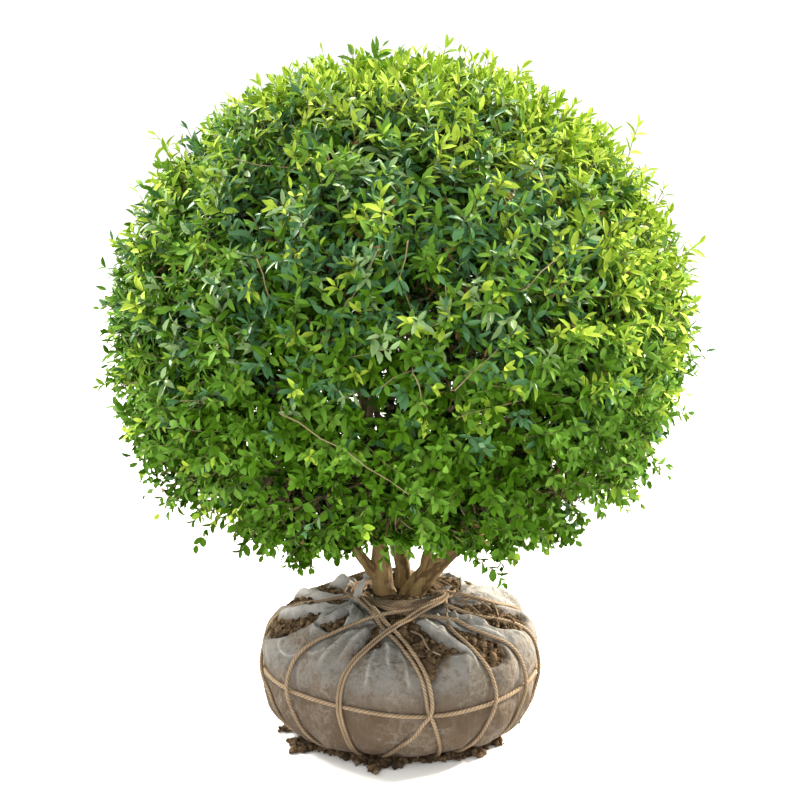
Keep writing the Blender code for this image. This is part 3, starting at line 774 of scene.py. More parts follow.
edge = -depth
lower = smooth_steps((down - 0.05) / 0.10)
billow = smooth_steps(near_rope / 0.040) * 0.0050 * smooth_steps((down - 0.03) / 0.08)
puff = smooth_steps(edge / 0.005) * np.exp(-((edge / 0.026) ** 2)) * 0.0032
pressed = smooth_steps((near_rope - 0.002) / 0.016)
tied = smooth_steps((near_rope - 0.0015) / 0.0085)
height = (billow + lower * 0.0010 * creases * smooth_steps(edge / 0.02)) * pressed
drawn = 0.0078 * np.clip(pleats, -0.6, 1) + 0.0030 * fine_pleats
drawn = np.where(drawn < 0, 0.35 * drawn, drawn)
height = height + np.maximum(drawn, 0.3 * drawn + 1.25 * folds) * tied
height = height + 0.0010 * wander(place, 0.022, 2.0) * pressed
height = (height - 0.0002) * smooth_steps(edge / 0.009) + puff * pressed
height = height - 0.0030 * (1 - smooth_steps((edge + 0.001) / 0.004))
height = np.where(down < 0.006, np.minimum(height, 0.003), height)
height = height * smooth_steps((FOOT_DOWN - 0.03 - down) / 0.05)
height = np.where(down > FOOT_DOWN - 0.004, -0.0008 - 0.0006 * np.abs(wander(place, 0.02)), height)

# Points just inside an opening move out to its edge, so that the cut runs smoothly
ring = np.hypot(place[..., 0], place[..., 1])
around_step = np.radians(360 / WRAP_AROUND) * ring
slope_u = (np.roll(depth, -1, 1) - np.roll(depth, 1, 1)) / (2 * around_step)
slope_v = np.gradient(depth, wrap_down, axis=0)
steep = np.maximum(slope_u**2 + slope_v**2, 0.25)
move = np.where((depth > 0) & (depth < 0.005), -np.clip(depth, 0, 0.003) / steep, 0)
turn = turn + np.degrees(move * slope_u / np.maximum(ring, 0.02))
down = down + move * slope_v
rows = on_ball(turn, down, height).reshape(-1, 3)
rows[:, 2] = np.maximum(rows[:, 2], 0.0004)
quads = outer_faces(len(wrap_down), WRAP_AROUND)
quads = quads[~(depth > 0).ravel()[quads].all(1)]
foot_fan = fan(WRAP_AROUND, len(rows) - WRAP_AROUND, len(rows), turned=True)
rows = np.concatenate([rows, [[0, 0, 0.0010]]])
used = np.zeros(len(rows), bool)
used[quads] = used[foot_fan] = True
renumber = np.cumsum(used) - 1
hang = 0.55 * smooth_steps((0.165 - down) / 0.10)
lifted = np.clip(folds / 0.0050 + 0.9 * np.clip(pleats, 0, 1) * smooth_steps((0.20 - down) / 0.08), 0, 1)
slack = np.clip(hang + 0.65 * lifted, 0, 1) * smooth_steps((near_rope - 0.001) / 0.006)
# Painted highlight: pale lines along fold crests, pleat crests and the cut edges of the openings
edge_highlight = 0.55 * np.exp(-((edge / 0.0016) ** 2)) * smooth_steps((0.175 - down) / 0.03)
lit_crest = np.clip(0.75 * crest + 0.8 * pleat_highlight + edge_highlight, 0, 1) * tied
near_soil = np.exp(-np.maximum(edge, 0) / 0.0025)

fleece = Finish("fleece", 0.80, 0.20)
cloudy = fleece.grain(16, 4)
blotch = fleece.grain(70, 5, roughness=0.62)
crumpled = fleece.grain(34, 5, roughness=0.5)
crinkled = fleece.grain(75, 3, stretch=(1, 1, 0.6))
fibre = fleece.grain(1300, 4, roughness=0.7)
height = fleece.node("SeparateXYZ", "Z", {"Vector": fleece.place})
colour = fleece.blend(fleece.ramp(height, 0.095, 0.180), (0.080, 0.053, 0.032), (0.153, 0.150, 0.143))
smear = fleece.times(fleece.value("smear"), fleece.ramp(blotch, 0.35, 0.6))
slackness = fleece.maths("ADD", fleece.value("slack"), fleece.times(blotch, 0.40))
fold_lines = fleece.maths("MAXIMUM", fleece.lines(crumpled, 0.055),
                          fleece.times(fleece.lines(crinkled, 0.060), 0.6))
# Painted highlight: paler along the crinkle lines and the crests
crinkle_highlight = fleece.times(fleece.times(fold_lines, fleece.ramp(cloudy, 0.38, 0.62)), 0.20)
crest_highlight = fleece.times(fleece.value("crest"), fleece.ramp(blotch, 0.30, 0.75))
weave = fleece.threads(0.0022)
gaps = fleece.maths("SUBTRACT", 1.0, fleece.ramp(weave, 0.25, 0.55))
for share, over in (
    (fleece.ramp(cloudy, 0.42, 0.70), (0.104, 0.076, 0.050)),
    (fleece.times(fleece.ramp(blotch, 0.44, 0.68), 0.70), (0.080, 0.056, 0.036)),
    (fleece.times(fleece.stain(0.100, 22.0), 0.85), (0.078, 0.053, 0.035)),
    (fleece.times(smear, 0.7), (0.090, 0.062, 0.040)),
    (fleece.ramp(slackness, 0.30, 1.20), (0.325, 0.318, 0.306)),
    (fleece.maths("MAXIMUM", crinkle_highlight, crest_highlight), (0.400, 0.385, 0.362)),
    (fleece.times(fleece.ramp(fibre, 0.50, 0.80), 0.22), (0.350, 0.325, 0.295)),
    (fleece.times(gaps, 0.16), (0.040, 0.028, 0.018)),
):
    colour = fleece.blend(share, colour, over)
creased = fleece.bump(fold_lines, 0.0006, fleece.bump(crumpled, 0.008))
fleece_finish = fleece.done(colour, fleece.bump(fibre, 0.0005, fleece.bump(weave, 0.0005, creased)))
# The crest values carry the painted highlight
make_piece("wrap_fleece", "cloth", [fleece_finish], [(rows[used], [renumber[quads], renumber[foot_fan]])],
           "wrap", slack=np.append(slack, 0)[used], crest=np.append(lit_crest, 0)[used],
           smear=np.append(near_soil, 1)[used])

# Twisted tails of fleece that stand up beside two of the knots: stations in millimetres, then
# degrees from the front, and millimetres from the neck and in radius
TAILS = [
    ([(0, 0, 0), (1, 0, 10), (4, 1, 21), (9, 2, 31), (13, 3, 36)], -50, 31, 7.2),
    ([(0, 0, 0), (3, 0, 6), (9, 1, 11), (16, 3, 13)], 66, 14, 5.2),
]
TAIL_SIDES = 28


def ring_points(path, right, up, angle, reach):
    """Rings of points round a path, at angles from right towards up."""
    ring = np.cos(angle)[..., None] * right[:, None] + np.sin(angle)[..., None] * up[:, None]
    return (path[:, None] + ring * reach[..., None]).reshape(-1, 3)


def closed_tube(points, sides, tip, base):
    """A tube of rings of points, closed by one point at its tip and one at its base."""
    caps = [fan(sides, len(points) - sides, len(points)), fan(sides, 0, len(points) + 1, turned=True)]
    faces = [tube_faces(len(points) // sides, sides), np.concatenate(caps)]
    return np.concatenate([points, [tip, base]]), faces


parts = []
for number, (stations, tail_turn, tail_down, thick) in enumerate(TAILS):
    line = smooth_route(np.array(stations) / 1000, 12) + on_ball(tail_turn, tail_down / 1000, 0.008)
    along = unit(np.gradient(line, axis=0))
    right = unit(np.cross(np.array([0, 1.0, 0]), along))
    share = np.linspace(0, 1, len(line))[:, None]
    side = ring_angles(TAIL_SIDES)
    reach = thick / 1000 * (1 - 0.62 * share) * (
        1 + 0.22 * np.cos(5 * side) + 0.12 * np.cos(3 * side + number))
    rows = ring_points(line, right, np.cross(along, right), side + 2.6 * share, reach)
    parts.append(closed_tube(rows, TAIL_SIDES, line[-1] + along[-1] * 0.0015, line[0]))
slack = np.full(sum(len(rows) for rows, faces in parts), 0.8)
make_piece("wrap_tails", "cloth", [fleece_finish], parts, slack=slack)

# The lacing: three-strand jute rope. A belt goes round first, then each pass runs from the
# turns round the stems over the belt to a ring underneath, over the passes laid before it.

HOP_HEIGHT = 1.45 * ROPE_RADIUS
HOP_LEAD = 0.012
TAUT_SLOPE = 0.17
ROPE_SIDES = 12
ROPE_STEP = 0.0021
ROPE_PITCH = 0.024
STRAND_DEPTH = 0.15
PASS_RADIUS = 0.0034


def hops(places, laid):
    """How far a rope rises at each place to pass over those that lie there."""
    lift = np.zeros(len(places))
    for others, raised in laid:
        gap = np.linalg.norm(places[:, None] - others[None], axis=-1)
        reach = smooth_steps((HOP_LEAD - gap.min(1)) / (HOP_LEAD - 2 * ROPE_RADIUS))
        lift = np.maximum(lift, (HOP_HEIGHT + raised[gap.argmin(1)]) * reach)
    return lift


def drawn_taut(places, lift):
    """The lifts along a rope pulled straight from crossing to crossing."""
    arc = run_length(places)
    apart = np.sqrt((arc[:, None] - arc[None]) ** 2 + 0.004**2) - 0.004
    return (lift[None] - TAUT_SLOPE * apart).max(1).clip(0)


def even_path(path, step, closed=False):
    """The same path with points an equal step apart."""
    if closed:
        path = np.concatenate([path, path[:1]])
    arc = run_length(path)
    at = np.linspace(0, arc[-1], max(int(arc[-1] / step), 4) + 1)
    if closed:
        at = at[:-1]
    return np.stack([np.interp(at, arc, path[:, k]) for k in range(3)], 1), at


def ease(path, closed):
    """The path with its corners worn round."""
    for _ in range(3):
        worn = 0.25 * np.roll(path, 1, 0) + 0.5 * path + 0.25 * np.roll(path, -1, 0)
        path = worn if closed else np.concatenate([path[:1], worn[1:-1], path[-1:]])
    return path


def rope_parts(path, closed, radius, rng):
    """Points, faces and strand heights of one laid rope along a path."""
    path, arc = even_path(path, ROPE_STEP, closed)
    path = ease(path, closed)
    count = len(path)
    along = unit(np.roll(path, -1, 0) - np.roll(path, 1, 0) if closed else np.gradient(path, axis=0))
    right = unit(np.cross(along, path - np.array([0, 0, 0.12])))
    turns = arc[-1] / (ROPE_PITCH * radius / ROPE_RADIUS)
    if closed:
        turns = max(round(turns), 1)
    spin = 2 * math.pi * turns * np.arange(count) / count + rng.uniform(0, 6.3)
    spin = spin + 0.5 * wander(path, 0.05, rng.uniform(0, 9))
    side = ring_angles(ROPE_SIDES)
    lobe = (side + math.pi / 3) % (2 * math.pi / 3) - math.pi / 3
    crest = np.cos(1.5 * lobe)
    thick = radius * (1 + 0.05 * wander(path, 0.018, rng.uniform(0, 9)))[:, None]
    reach = thick * (1 - STRAND_DEPTH + STRAND_DEPTH * crest)
    points = ring_points(path, right, np.cross(right, along), side + spin[:, None], reach)
    # Strand heights, which the finish turns into painted shade in the grooves
    heights = np.tile(crest, count)
    if closed:
        return points, [tube_faces(count, ROPE_SIDES, True)], heights
    return *closed_tube(points, ROPE_SIDES, path[-1], path[0]), np.append(heights, [0.3, 0.3])


jute = Finish("jute", 0.88, 0.15)
# Painted shade: the jute darkens in the grooves between its strands, read from the strand heights
strand = jute.ramp(jute.value("strand"), 0.05, 0.70)
hairs = jute.grain(1400, 4, roughness=0.7)
clean = jute.blend(jute.ramp(jute.grain(38, 3), 0.35, 0.65), (0.262, 0.188, 0.122), (0.340, 0.254, 0.170))
clean = jute.blend(jute.ramp(hairs, 0.45, 0.75), clean, (0.405, 0.312, 0.212))
clean = jute.blend(strand, (0.150, 0.102, 0.060), clean)
clean = jute.blend(jute.times(jute.stain(0.10, 30.0), 0.62), clean, (0.085, 0.054, 0.032))
jute_finish = jute.done(clean, jute.bump(hairs, 0.0012))
spin_rng = np.random.default_rng(5)


def rope_piece(name, runs, node=None):
    """One piece of rope: a list of paths, each with whether it closes on itself and radius."""
    ropes = [rope_parts(*run, spin_rng) for run in runs]
    heights = np.concatenate([rope[2] for rope in ropes])
    make_piece(name, "rope", [jute_finish], [rope[:2] for rope in ropes], node, strand=heights)


ROPE_SEAT = ROPE_RADIUS + ROPE_GAP - 0.0008
belt = tracks.pop("belt")[:-1]
belt_base = on_ball(*belt.T)
sag = 0.0006 * wander(belt_base, 0.03, 2.0)
belt_path = on_ball(belt[:, 0], belt[:, 1] + sag, ROPE_SEAT - 0.0008)
rope_piece("belt_rope", [(belt_path, True, ROPE_RADIUS)], "rope_belt")
laid = {"belt": (belt_base, np.zeros(len(belt)))}

ring_down = FOOT_DOWN
while on_ball(0, ring_down, ROPE_RADIUS + ROPE_GAP)[2] < ROPE_RADIUS:
    ring_down -= 0.0005
ring = on_ball(np.arange(96) * 360 / 96, ring_down, ROPE_RADIUS + ROPE_GAP)
rope_piece("foot_ring_rope", [(ring, True, ROPE_RADIUS)], "rope_foot_ring")

# Each pass ends tucked under the ring
PASS_END = ring_down - 2 * ROPE_RADIUS - ROPE_GAP
for name, track in tracks.items():
    below = [record for other, record in laid.items() if other[:-1] != name[:-1]]
    lead = np.array(PASSES[name.rstrip("_12")][0]) / (1, 1000)
    if lead[-1, 0] > track[-1, 0] + 180:
        lead[:, 0] -= 360
    track = track[(track[:, 1] < PASS_END - ROPE_RADIUS) & (track[:, 1] > lead[-1, 1] + 0.010)]
    lead = smooth_route(np.concatenate([lead, track[:1]]), 8)[:-1]
    track = np.concatenate([lead, track, [[track[-1, 0], PASS_END]]])
    base = on_ball(*track.T)
    over_coil = 2 * COIL_RADIUS * smooth_steps((0.040 - track[:, 1]) / 0.010)
    at_knot = smooth_steps((0.016 - track[:, 1]) / 0.006)
    raised = np.minimum(drawn_taut(base, np.maximum(hops(base, below), over_coil)), 2.2 * HOP_HEIGHT)
    laid[name] = (base, raised)
    radius = THIN_RADIUS if name[-2:] in ("_1", "_2") else PASS_RADIUS
    seat = ROPE_SEAT + raised * (1 - at_knot) + 0.0070 * at_knot + radius - ROPE_RADIUS
    rope_piece("lace_" + name, [(on_ball(*track.T, seat), False, radius)], "rope_pass_" + name)

# Six loops round the neck, side by side in front of the stems, one of them slack, drawn
# together and whipped at the knots that the passes hang from
held = beside_knots(coil_turn, 20)
runs = []
for (wide, tight, up), track in zip(COIL_LOOPS, coil_tracks):
    proud = COIL_RADIUS * (1.1 + (1.6 * up - 1.1) * held)
    proud = proud + 0.0010 * loop_wander(coil_turn, 40, up * 5, wide)
    runs.append((on_ball(*track.T, proud), True, COIL_RADIUS))
KNOT_WRAPS = 4
KNOT_DOWN = 0.0170
for knot_turn in KNOTS:
    angle = np.linspace(0.4, 2 * math.pi * KNOT_WRAPS + 0.4, 30 * KNOT_WRAPS)
    wind = knot_turn + np.degrees(np.linspace(-0.5, 0.5, len(angle)) * KNOT_WRAPS * 0.0054 / 0.078)
    wrapped = on_ball(wind, KNOT_DOWN - 0.0125 * np.cos(angle), 0.0075 + 0.0105 * np.sin(angle))
    # a small bight left standing out of the knot
    swing = np.linspace(-0.5, math.pi + 0.9, 22)
    bight = on_ball(knot_turn - 9.0 * np.sin(swing), KNOT_DOWN + 0.012 + 0.0075 * np.cos(swing), 0.0125)
    runs += [(wrapped, False, COIL_RADIUS), (bight, False, COIL_RADIUS)]
rope_piece("neck_coil_rope", runs, "rope_neck_coil")

# Short ends of thinner cord that lie across the bare soil behind the right knot
CORD_ENDS = [
    [(58, 32), (63, 62), (58, 98)], [(70, 50), (88, 82), (68, 118)], [(74, 40), (78, 70), (72, 98)],
    [(6, 104), (11, 118), (13, 146), (18, 158)],
]
runs = []
for stations in CORD_ENDS:
    rows = ball_route(stations, 14)
    hump = 0.0045 + 0.002 * np.sin(np.linspace(0, math.pi, len(rows)))
    runs.append((on_ball(*rows.T, hump), False, 0.0016))
rope_piece("loose_cords", runs)

# Stems and limbs: three stems rise from one stool in the soil and two limbs fork off them,
# all smooth tan bark drawn into long sinews, with painted shade dark in the hollows between.

STOOL = np.array([0, 0, on_ball(0.0, 0.0)[2] - 0.0023])
STEM_SIDES = 44
STEM_STEP = 0.0022
BARK_RELIEF = 0.13
# Centre line from the soil up, and the radius at each station, in millimetres
STEMS = {
    "stem_left":
        ([(-26, -12, 0), (-28.5, -12, 15), (-30.5, -12, 34), (-32.5, -11, 55), (-34, -8, 79),
        (-38, -1, 111), (-46, 10, 161)], [21.5, 18, 17.2, 14, 11.5, 10.8, 10]),
    "stem_right":
        ([(19.5, -14, 0), (26, -14, 13), (39, -13, 32), (56, -12, 50), (75, -9, 66), (93, -3, 82),
        (110, 4, 106), (130, 10, 151)], [22.5, 19, 18.5, 15, 12.2, 11.2, 10.5, 10]),
    "stem_back":
        ([(5.5, 24, 0), (6.5, 26, 15), (5.5, 29, 33), (1.5, 33, 56), (-7, 39, 86), (-18, 48, 151)],
        [17, 14, 12.5, 11, 8.5, 7]),
    "limb_left":
        ([(-33, -12, 23), (-44.5, -15, 42), (-58, -19, 62), (-72.5, -24, 83), (-91, -30, 113),
        (-112, -36, 161)], [10.5, 9.8, 8.8, 7.8, 7.2, 6.8]),
    "limb_middle":
        ([(36, -16, 23), (40.5, -19, 42), (43, -20, 58), (47, -18, 76), (54.5, -15, 96), (66, -8, 151)],
        [10, 8.8, 7.8, 7, 6.4, 6]),
}

bark = Finish("bark", 0.80, 0.20)
sinew = bark.grain(55, 4, stretch=(1, 1, 0.14))
flake = bark.grain(420, 4, stretch=(1, 1, 0.3), roughness=0.65)
warm = bark.blend(bark.ramp(sinew, 0.36, 0.66), (0.132, 0.084, 0.030), (0.218, 0.146, 0.060))
warm = bark.blend(bark.ramp(flake, 0.52, 0.80), warm, (0.300, 0.220, 0.126))
# Painted shade: the bark darkens in the hollows between sinews and at its foot in the soil
warm = bark.blend(bark.ramp(bark.value("hollow"), 0.40, 1.05), warm, (0.078, 0.045, 0.020))
bark_finish = bark.done(warm, bark.bump(flake, 0.0014, bark.bump(sinew, 0.003)))


def bark_parts(path, radius, seed):
    """Points, faces and painted shade values of a limb whose bark is drawn into sinews."""
    path, arc = even_path(path, STEM_STEP)
    widths = np.interp(np.linspace(0, 1, len(path)), np.linspace(0, 1, len(radius)), radius)
    along = unit(np.gradient(path, axis=0))
    right = unit(np.cross(np.array([0, 1.0, 0]), along))
    side, height = np.meshgrid(ring_angles(STEM_SIDES), arc)

    def relief(length, size, shift):
        """Noise drawn out along the limb, that closes on itself round it."""
        return wander(np.stack([np.cos(side), np.sin(side), height / length], -1), size, seed + shift)

    sinews, cords = relief(0.055, 0.62, 0), relief(0.035, 0.27, 3)
    knots = smooth_steps((relief(0.055, 0.40, 11) - 0.33) / 0.25)
    push = sinews + 0.45 * cords + 0.16 * relief(0.010, 0.20, 7) + 0.8 * knots
    reach = widths[:, None] * (1 + BARK_RELIEF * push)
    points = ring_points(path, right, np.cross(along, right), side, reach)
    hollow = np.clip(0.42 - 1.5 * sinews - 0.7 * cords, 0, 1)
    tip = path[-1] + along[-1] * widths[-1] * 0.7
    return closed_tube(points, STEM_SIDES, tip, path[0]), np.append(hollow, [0.5, 0.9])


for number, (name, (stations, radii)) in enumerate(STEMS.items()):
    line = smooth_route(np.array(stations) / 1000 + STOOL, 12)
    if name.startswith("stem"):
        line[0, 2] -= 0.004
    width = smooth_route(np.array(radii)[:, None] / 1000, 12)[:, 0]
    limb, hollow = bark_parts(line, width, 20.0 + number * 6)
    make_piece("bark_" + name, "bark", [bark_finish], [limb], name, hollow=hollow)

# Earth banked up round the foot of each stem
bank = np.random.default_rng(31)
shapes = lump_shapes(1)
parts = []
for name, (stations, radii) in STEMS.items():
    if not name.startswith("stem"):
        continue
    foot, thick = np.array(stations[0]) / 1000 + STOOL, radii[0] / 1000
    for turn in bank.uniform(0, 2 * math.pi, 90):
        size = 0.0012 + 0.0034 * bank.random() ** 2
        out = thick * bank.uniform(0.86, 1.30)
        up = 0.0016 + 0.0060 * bank.random() * max(0.0, 1.3 - out / thick)
        spot = foot + np.array([out * math.cos(turn), out * math.sin(turn), up])
        parts.append(lump(shapes, size, spot, bank))
lump_piece("soil_banked", parts, bank, (0.1, 0.6))

# The crown's frame: boughs, branches and twigs that fork on from the limbs to a clipped
# outline. Brown wood, each a tapering shoot that leaves its parent at an angle and turns
# up to the light.

CROWN_CENTRE = np.array([0.0, 0.0, 0.720])
CROWN_RADIUS = 0.485
CROWN_RISE = 0.437
CROWN_DROP = 0.376
CROWN_TOP_POWER = 1.94
CROWN_UNDER_POWER = 2.6
GOLDEN_TURN = math.pi * (3 - math.sqrt(5))
BOUGHS = 28
BRANCHES = 160
TWIGS = 1000
UPWARD = np.array([0, 0, 1.0])


def crown_reach(facing):
    """How far the clipped outline lies from the crown's middle in each direction."""
    above = facing[:, 2] > 0
    power = np.where(above, CROWN_TOP_POWER, CROWN_UNDER_POWER)
    rise = np.where(above, CROWN_RISE, CROWN_DROP)
    level = np.hypot(facing[:, 0], facing[:, 1]) / CROWN_RADIUS
    return (level**power + np.abs(facing[:, 2] / rise) ** power) ** (-1 / power)


def in_crown(facing, depth):
    """Points in each direction from the crown's middle, at a share of the outline."""
    return CROWN_CENTRE + facing * (crown_reach(facing) * depth)[:, None]


def spread_facing(count, rng, scatter):
    """Directions spread evenly over the ball, each a little off its place."""
    k = np.arange(count) + 0.5
    z = 1 - 2 * k / count
    across = np.sqrt(1 - z * z)
    rows = np.stack([across * np.cos(GOLDEN_TURN * k), across * np.sin(GOLDEN_TURN * k), z], 1)
    return unit(rows + rng.normal(0, scatter / math.sqrt(count), rows.shape))


def shoot_paths(start, lead, end, aim, steps, sway, rng):
    """Curved shoots, one per row: each sets out along lead and arrives along aim."""
    t = np.linspace(0, 1, steps)[None, :, None]
    span = np.linalg.norm(end - start, axis=1)[:, None, None]
    p0, p1 = start[:, None], end[:, None]
    v0, v1 = lead[:, None] * span, aim[:, None] * span
    path = (2 * t**3 - 3 * t**2 + 1) * p0 + (t**3 - 2 * t**2 + t) * v0
    path = path + (3 * t**2 - 2 * t**3) * p1 + (t**3 - t**2) * v1
    bend = unit(rng.normal(size=start.shape))[:, None] * span * sway
    phase = rng.uniform(0, 6.3, len(start))[:, None, None]
    return path + bend * np.sin(9 * t + phase) * t * (1 - t) * 4


def path_place(paths, rows, share):
    """The point and direction at a share of the way along each of the chosen paths."""
    last = paths.shape[1] - 1
    at = np.clip(share * last, 0, last - 1e-6)
    k = at.astype(int)
    part = (at - k)[:, None]
    a, b = paths[rows, k], paths[rows, k + 1]
    return a + (b - a) * part, unit(b - a)


grow = np.random.default_rng(41)
limb_ends = np.array([
    (-46, 10, 400), (130, 10, 390), (-18, 48, 400), (-112, -36, 400), (66, -8, 390),
]) / 1000
limb_leads = unit(np.array([
    (-0.16, 0.22, 1.0), (0.44, 0.12, 0.9), (-0.14, 0.13, 1.0), (-0.44, -0.12, 1.0), (0.22, 0.12, 1.0),
]))

bough_facing = spread_facing(BOUGHS, grow, 0.5)
bough_end = in_crown(bough_facing, grow.uniform(0.52, 0.66, BOUGHS))
toward = unit(bough_end[:, None] - limb_ends[None])
chosen = np.argmax((toward * limb_leads[None]).sum(-1) + grow.normal(0, 0.04, (BOUGHS, 5)), axis=1)
bough_lead = unit(limb_leads[chosen] + 0.35 * toward[np.arange(BOUGHS), chosen])
boughs = shoot_paths(
    limb_ends[chosen], bough_lead, bough_end, unit(bough_facing + 0.5 * UPWARD), 12, 0.02, grow)


def branch_off(parents, parent_facing, facing, depth, steps, sway, lift, rng, seek=None):
    """A level of shoots: each leaves the nearest parent and ends at a share of the outline."""
    seek = facing if seek is None else seek
    near = np.argmax(seek @ parent_facing.T, axis=1)
    apart = np.arccos(np.clip((seek * parent_facing[near]).sum(1), -1, 1))
    share = np.clip(1.02 - 0.75 * apart / apart.max() - rng.uniform(0, 0.15, len(near)), 0.25, 1)
    start, lead = path_place(parents, near, share)
    end = in_crown(facing, depth)
    toward = unit(end - start)
    aim = unit(toward + facing * 0.5 + UPWARD * lift[:, None])
    return shoot_paths(start, unit(lead + toward), end, aim, steps, sway, rng)


branch_facing = spread_facing(BRANCHES, grow, 0.6)
branch_depth = grow.uniform(0.76, 0.86, BRANCHES)
branches = branch_off(
    boughs, bough_facing, branch_facing, branch_depth, 9, 0.02, np.full(BRANCHES, 0.3), grow)
twig_facing = spread_facing(TWIGS, grow, 0.7)
twig_clump = grow.normal(0, 0.014, TWIGS)
twig_lift = np.where(twig_facing[:, 2] < -0.3, 0.0, 0.35)
twigs = branch_off(
    branches, branch_facing, twig_facing, 0.912 + twig_clump, 7, 0.03, twig_lift, grow)

SPRAYS = 11000
# Sprays lie in four layers from the outline inward: how many of them, and how deep
LAYER_SHARES = [0.42, 0.24, 0.16, 0.18]
LAYER_DEPTHS = [0.965, 0.915, 0.85, 0.77]


def underside(facing):
    return smooth_steps((-0.30 - facing[:, 2]) / 0.35)


spray_facing = spread_facing(SPRAYS, grow, 0.9)
layer = grow.choice(len(LAYER_SHARES), SPRAYS, p=LAYER_SHARES)
spray_depth = np.choose(layer, LAYER_DEPTHS) + grow.normal(0, 0.014, SPRAYS)
near_twig = np.argmax(spray_facing @ twig_facing.T, axis=1)
surface = spray_facing * crown_reach(spray_facing)[:, None]
clump = wander(surface, 0.075, 6.0) + 0.6 * wander(surface, 0.034, 2.0)
spray_depth = spray_depth + (layer < 3) * (twig_clump[near_twig] * 0.8 + 0.060 * clump)
low = underside(spray_facing)
rim = low * smooth_steps((spray_facing[:, 2] + 0.97) / 0.25)
# the underside is open in front of the stems and hangs lower to either side of them
window = low * np.exp(-((surface[:, 0] / 0.115) ** 2)) * smooth_steps(0.5 - surface[:, 1] / 0.2)
spray_depth = spray_depth + rim * (1 - window) * grow.uniform(-0.005, 0.105, SPRAYS) - 0.045 * window
spray_depth = spray_depth - 0.035 * low * smooth_steps(spray_facing[:, 0] / 0.5)
stray = (grow.random(SPRAYS) < 0.020) & (layer == 0)
spray_depth = spray_depth + stray * grow.uniform(0.02, 0.05, SPRAYS)
spray_lift = 0.45 + grow.normal(0, 0.2, SPRAYS) - 0.95 * low
keep = grow.random(SPRAYS) > 0.45 * low
# sky shows through the underside in patches
patches = wander(surface, 0.055, 14.0)
keep &= ~((rim > 0.30) & (patches > 0.10) & (grow.random(SPRAYS) < 0.80))
keep &= ~((clump < -0.28) & (layer < 2) & (grow.random(SPRAYS) < 0.5))
sprays = branch_off(twigs, twig_facing, spray_facing, spray_depth, 5, 0.03, spray_lift, grow)
sprays, spray_facing, layer, clump, low = (
    rows[keep] for rows in (sprays, spray_facing, layer, clump, low))

WHIPS = 260
# Tips of shoots that hang out of the underside
HANGERS = np.array([
    (-168, -150, 350), (-155, -170, 362), (-185, -120, 368), (165, -170, 338), (178, -150, 352),
    (172, -190, 372), (262, -120, 362), (-100, -200, 366), (250, -160, 384), (-258, -140, 392),
    (108, -180, 372), (-222, -160, 376), (205, -140, 366), (-130, 190, 352), (190, 160, 356),
    (-250, 100, 372), (-163, -155, 336), (-150, -165, 346), (-210, -150, 358),
]) / 1000
whip_facing = spread_facing(WHIPS, grow, 1.2)
whip_depth = grow.uniform(0.975, 1.035, WHIPS)
more_hangers = [HANGERS + grow.normal(0, 0.012, HANGERS.shape) for _ in range(2)]
# Tips of shoots that stand out past the clipped outline
STANDING = np.array([
    (384, -50, 1040), (489, -50, 851), (506, -50, 672), (-499, -50, 614), (73, -20, 1166),
    (-36, -20, 1163), (-395, -50, 1029), (447, -50, 460), (-428, -50, 460), (198, -20, 1133),
    (430, -50, 930), (-469, -50, 858),
]) / 1000
set_tips = np.concatenate([HANGERS, *more_hangers, STANDING])
set_facing = unit(set_tips - CROWN_CENTRE)
whip_facing[:len(set_tips)] = set_facing
whip_depth[:len(set_tips)] = np.linalg.norm(set_tips - CROWN_CENTRE, axis=1) / crown_reach(set_facing)
whip_low = underside(whip_facing)
whip_from = unit(whip_facing + grow.normal(0, 0.14, (WHIPS, 3)) - 0.10 * UPWARD)
whips = branch_off(
    twigs, twig_facing, whip_facing, whip_depth, 9, 0.05, 0.2 - 0.7 * whip_low, grow, whip_from)

STRAWS = 60
STRAW_STEPS = 9
straw_facing = spread_facing(STRAWS, grow, 2.0)
straw_facing[:, 2] = np.abs(straw_facing[:, 2] + 0.2) - 0.2
straw_facing = unit(straw_facing)
straw_from = unit(straw_facing + grow.normal(0, 0.30, (STRAWS, 3)))
straw_depth = grow.uniform(1.0, 1.03, STRAWS)
straws = branch_off(
    twigs, twig_facing, straw_facing, straw_depth, STRAW_STEPS, 0.03, np.zeros(STRAWS), grow, straw_from)
# Bare shoots that cross the face of the crown: where each shows, in millimetres
CROSSING_SHOOTS = [
    [(-183, -447, 657), (-147, -457, 634), (-88, -466, 600), (-37, -463, 564), (13, -449, 526)],
    [(80, -475, 692), (113, -471, 723), (146, -461, 751)],
    [(189, -424, 838), (214, -403, 860), (240, -378, 879)],
    [(20, -482, 723), (29, -483, 693), (39, -482, 666)],
    [(12, -431, 911), (6, -449, 879), (-3, -459, 851)],
    [(-214, -393, 881), (-205, -415, 850), (-193, -428, 820)],
]
LONG_DEPTH, SHORT_DEPTH = 0.982, 0.98
crossing = []
for rows in CROSSING_SHOOTS:
    depth = LONG_DEPTH if len(rows) > 3 else SHORT_DEPTH
    rows = CROWN_CENTRE + (np.array(rows) / 1000 - CROWN_CENTRE) * depth
    inside = CROWN_CENTRE + (rows[:1] - CROWN_CENTRE) * 0.88
    path = smooth_route(np.concatenate([inside, rows]), 8)
    path = path + 0.002 * np.sin(np.arange(len(path)) * 0.55)[:, None] * np.array([0.5, 0.0, 1.0])
    at = np.linspace(0, len(path) - 1, STRAW_STEPS)
    crossing.append(np.stack([np.interp(at, np.arange(len(path)), path[:, k]) for k in range(3)], 1))
straws = np.concatenate([straws, crossing])
straw_facing = np.concatenate([straw_facing, unit(np.array(crossing)[:, -1] - CROWN_CENTRE)])
STRAWS = len(straws)

